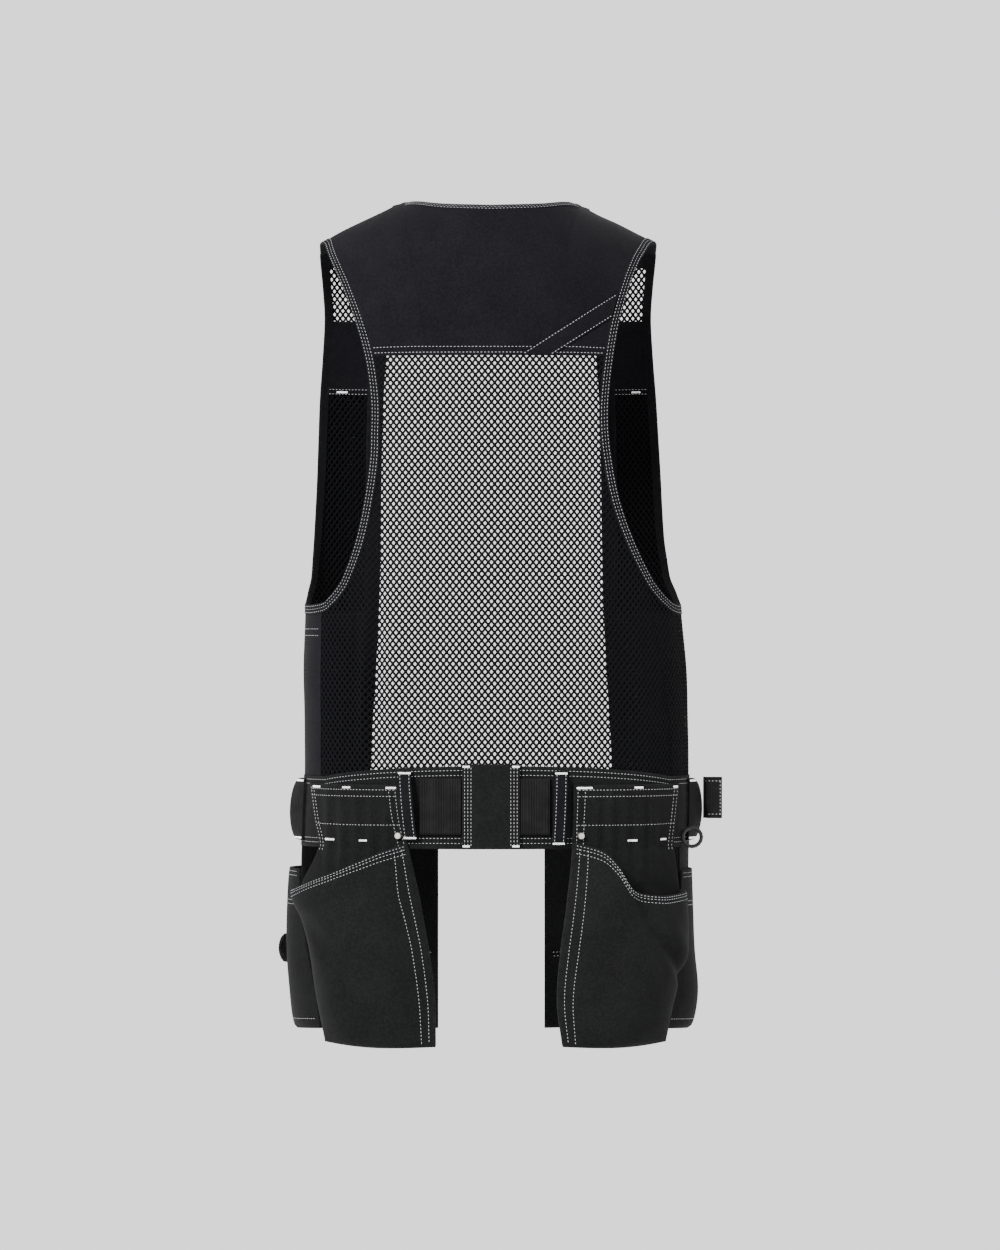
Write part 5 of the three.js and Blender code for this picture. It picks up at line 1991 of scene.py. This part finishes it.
@dataclass
class Holsters:
    """The two holsters behind and the two pockets in front, hanging from the belt."""

    looks: Looks
    thread: Thread
    tacks: Thread

    def point(self, side: Side, c: Array, z: Array) -> Array:
        """A holster's surface by a share across and a height.

        Args:
            side: left or right.
            c: shares across.
            z: heights.

        Returns:
            The points.
        """
        inner, outer = HOLSTER_EDGES[side]
        down = (-z - BELT_DROP) / HOLSTER_DROP
        start, end = (
            turn_of(Face.BACK, side.value * WAIST_HALF * edge(down), z) for edge in (inner, outer)
        )
        return turn_point(mix(start, end, c), z)

    def hang(self, z: Array) -> Array:
        """How far a holster swings off the body at a height."""
        share = np.maximum(0, BELT_BOTTOM - z) / (BELT_BOTTOM - HOLSTER_BOTTOM)
        return OVER_BELT + HOLSTER_SWING * share**0.6

    def holster(self, side: Side) -> None:
        """One holster: its board, its pouch, and their stitching.

        Args:
            side: left or right.
        """
        top = -BELT_DROP - HOLSTER_DROP * HOLSTER_AT[0]
        word = side.label

        def hem(c: Array) -> Array:
            """Height of the hem, which rises towards both corners."""
            return HOLSTER_BOTTOM - 3.5 * np.sin(math.pi * np.clip(c, 0, 1)) + 3.0 * c

        def board_point(c: Array, r: Array) -> Array:
            """The board's surface."""
            return self.point(side, c, mix(top, hem(c) + 1.5, r))

        def height(c: Array, r: Array) -> Array:
            """Heights of the pouch's rows, from its mouth to the curved hem."""
            return mix(-BELT_DROP - HOLSTER_DROP * MOUTHS[side](c), hem(c), r)

        def bulge(c: Array, r: Array) -> Array:
            """How far the pouch stands off: fullest in the middle, closing at sides and bottom.

            Args:
                c: shares across.
                r: shares down.

            Returns:
                The distances.
            """
            gape = mix(0.85, 1, np.minimum(1, r / 0.25))
            across = np.sin(math.pi * np.clip(c, 0, 1) ** 1.35) ** 0.6
            closing = np.sqrt(np.maximum(0, 1 - r**2.4))
            reach = HOLSTER_BULGE * gape * np.maximum(across, 0) * closing
            return self.hang(height(c, r)) + CLOTH + LAYER_GAP * 1.3 + reach

        board_folds = tuple(
            Crease((side.value * x, -625), (side.value * (x - 2), -720), 5, high * 2.5)
            for x, high in ((110, 1.2), (125, 1.5), (141, 1.1), (155, 1.6), (169, 1.2))
        )
        board = Sheet(
            *pair(f"holster_panel_{word}"), "holster_cloth", board_point, 80, 110, CLOTH,
            lambda c, r: self.hang(mix(top, HOLSTER_BOTTOM, r)), Folds(board_folds, 0.5),
        )
        board.build(self.looks)
        pouch = Sheet(
            *pair(f"holster_pouch_{word}"), "holster_cloth",
            lambda c, r: self.point(side, c, height(c, r)), 100, 100, CLOTH, bulge,
            Folds(POUCH_CREASES[side], 0.7),
        )
        pouch.build(self.looks)
        t = np.linspace(0.02, 0.98, 260)
        pouch.sew_across(self.thread, t, 0.012, 0.028, 0.05)
        pouch.sew_down(self.thread, t, 0.045, 0.1)
        board.sew_across(self.thread, np.linspace(0.03, 0.97, 200), 0.02, 0.045, 0.155)
        down = np.linspace(0.01, 0.26, 120)
        board.sew_down(self.thread, down, 0.03, 0.08, 0.92, 0.97)
        for low, high, level in BOARD_TACKS[side]:
            board.tack(self.tacks, low, high, level)
        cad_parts[f"rivet_{word}"].material_slots[0].material = self.looks.material("metal")

    def pocket(self, side: Side) -> None:
        """One front pocket: its wall behind and its pouch.

        Args:
            side: left or right.
        """
        word = side.label

        def bottom(c: Array) -> Array:
            """Height of the pocket's bottom."""
            return -BELT_DROP - POCKET_DROP - POCKET_SLOPE * c

        def point(c: Array, z: Array) -> Array:
            """The surface by a share round the body and a height.

            Args:
                c: shares round it.
                z: heights.

            Returns:
                The points.
            """
            share = (POCKET_MOUTH - z) / (POCKET_MOUTH - bottom(0.0))
            rear = turn_of(Face.BACK, side.value * WAIST_HALF * POCKET_REARS[side](share), z)
            fore = turn_of(Face.FRONT, np.full_like(z, side.value * POCKET_FRONT), z)
            return turn_point(mix(rear, fore, c), z)

        def lift(c: Array, r: Array) -> Array:
            """How far the pouch stands off: a little at the side, more in front.

            Args:
                c: shares across.
                r: shares down.

            Returns:
                The distances.
            """
            ends = np.clip(np.minimum(c / 0.22, (1 - c) / 0.08), 0, 1)
            turned = np.clip((c - 0.35) / 0.3, 0, 1)
            reach = POCKET_FULLNESS * mix(POCKET_BULGES[side](r), 1, turned**2 * (3 - 2 * turned))
            closing = np.sqrt(np.maximum(0, 1 - r**4))
            return CLOTH / 2 + LAYER_GAP + reach * np.sin(ends * math.pi / 2) * closing

        wall = Sheet(
            *pair(f"front_pocket_panel_{word}"), "holster_cloth",
            lambda c, r: point(c, mix(BELT_BOTTOM + 2, bottom(c), r)), 90, 44, CLOTH, -CLOTH / 2,
            Folds((), 0.5),
        )
        wall.build(self.looks)
        pouch = Sheet(
            *pair(f"front_pouch_{word}"), "holster_cloth",
            lambda c, r: point(c, mix(POCKET_MOUTH, bottom(c), r)), 120, 60,
            CLOTH, lift, Folds((), 0.4),
        )
        pouch.build(self.looks)
        t = np.linspace(0.02, 0.98, 300)
        pouch.sew_across(self.thread, t, 0.02, 0.045, 0.2, 0.225, 0.94)
        for level in (0.6, 0.62):
            wall.sew_inside(self.thread, t, level)
        if side is Side.LEFT:
            self.tab(point, lift, bottom)

    def tab(self, point: Callable, lift: Height, bottom: Callable) -> None:
        """The webbing tab on the left pocket's side.

        Args:
            point: the pocket's surface.
            lift: how far the pouch stands off.
            bottom: the height of its bottom.
        """
        middle, down = TAB_MIDDLE, TAB_DOWN
        long = TAB_LENGTH / (POCKET_MOUTH - bottom(middle))

        def surface(c: Array, r: Array) -> Array:
            """The surface by its shares.

            Args:
                c: shares across.
                r: shares down.

            Returns:
                The points.
            """
            across = middle + mix(-TAB_HALF, TAB_HALF, c)
            return point(across, mix(POCKET_MOUTH, bottom(across), down + long * r))

        def arch(c: Array, r: Array) -> Array:
            """The tab's height."""
            seat = lift(np.full_like(c, middle), down + long * r)
            return seat + CLOTH + LAYER_GAP + TAB_STAND * np.sin(math.pi * r) ** 0.5

        tab = Sheet(*pair("tool_tab_left"), "webbing", surface, 20, 50, WEBBING, arch)
        tab.build(self.looks)
        for level in (0.05, 0.95):
            tab.tack(self.tacks, 0.05, 0.95, level, 40)

    def build(self) -> None:
        """Makes both sides."""
        for side in SIDES:
            self.holster(side)
            self.pocket(side)


@dataclass(frozen=True)
class Studio:
    """Camera, soft lights, pale world and floor."""

    eye: tuple[float, float, float] = (0.00945, -6.11, -0.4512)
    lens: float = 164.57

    def light(self, name: str, place: tuple, power: float, size: float) -> None:
        """A square soft light that faces the vest.

        Args:
            name: its name.
            place: where it stands, in metres.
            power: watts.
            size: its side, in metres.
        """
        lamp = bpy.data.lights.new(name, "AREA")
        lamp.energy, lamp.size = power, size
        made = bpy.data.objects.new(name, lamp)
        bpy.context.scene.collection.objects.link(made)
        made.location = place
        aim = np.array([0.0, 0.0, -0.45]) - np.array(place)
        pitch = math.atan2(math.hypot(aim[0], aim[1]), -aim[2])
        made.rotation_euler = (pitch, 0, math.atan2(-aim[0], aim[1]))

    def build(self) -> None:
        """Sets up the picture."""
        data = bpy.data.cameras.new("camera")
        data.lens, data.sensor_width, data.sensor_fit = self.lens, 36.0, "AUTO"
        data.clip_start, data.clip_end = 0.1, 100
        camera = bpy.data.objects.new("camera", data)
        bpy.context.scene.collection.objects.link(camera)
        camera.location, camera.rotation_euler = self.eye, (math.pi / 2, 0, 0)
        bpy.context.scene.camera = camera
        world = bpy.data.worlds.new("pale_world")
        bpy.context.scene.world = world
        world.use_nodes = True
        world.node_tree.nodes["Background"].inputs["Color"].default_value = (1, 1, 1, 1)
        world.node_tree.nodes["Background"].inputs["Strength"].default_value = 1.6
        self.light("key", (-2.4, -3.0, 1.8), 600, 0.8)
        self.light("fill", (3.2, -2.2, 0.4), 120, 1.6)
        turn = np.linspace(0, 2 * math.pi, 96, endpoint=False)
        circle = np.stack([np.cos(turn), np.sin(turn), turn * 0], 1)
        rings = [circle * (radius, radius, 1) for radius in (1, 900, 1900)]
        points = np.concatenate(rings) + (0, 0, FLOOR_Z)
        index = np.arange(288).reshape(3, 96)
        ahead = np.roll(index, -1, 1)
        bands = [np.stack([index[k], ahead[k], ahead[k + 1], index[k + 1]], 1) for k in (0, 1)]
        quads = np.concatenate(bands)[:, ::-1]
        finish = PlainFinish("pale_floor", (0.74, 0.74, 0.74), (0.8, 0.8, 0.8), 0.8, 0.0, 60.0)
        make_object("floor", points, [quads], finish.material())


def main() -> None:
    """Builds the vest's looks, piece by piece."""
    looks = Looks()
    Studio().build()
    upper = Thread("upper_stitches", "thread", looks)
    lower = Thread("lower_stitches", "thread", looks)
    tacks = Thread("bar_tacks", "tack", looks)
    Upper(looks, upper).build()
    Nets(looks).build()
    Fronts(looks, upper, tacks).build()
    Belt(looks, lower, tacks).build()
    Holsters(looks, lower, tacks).build()
    for thread in (upper, lower, tacks):
        piece = thread.build()
        log.info("%s: %d rows", piece.name, len(thread.rows))


if __name__ == "__main__":
    main()
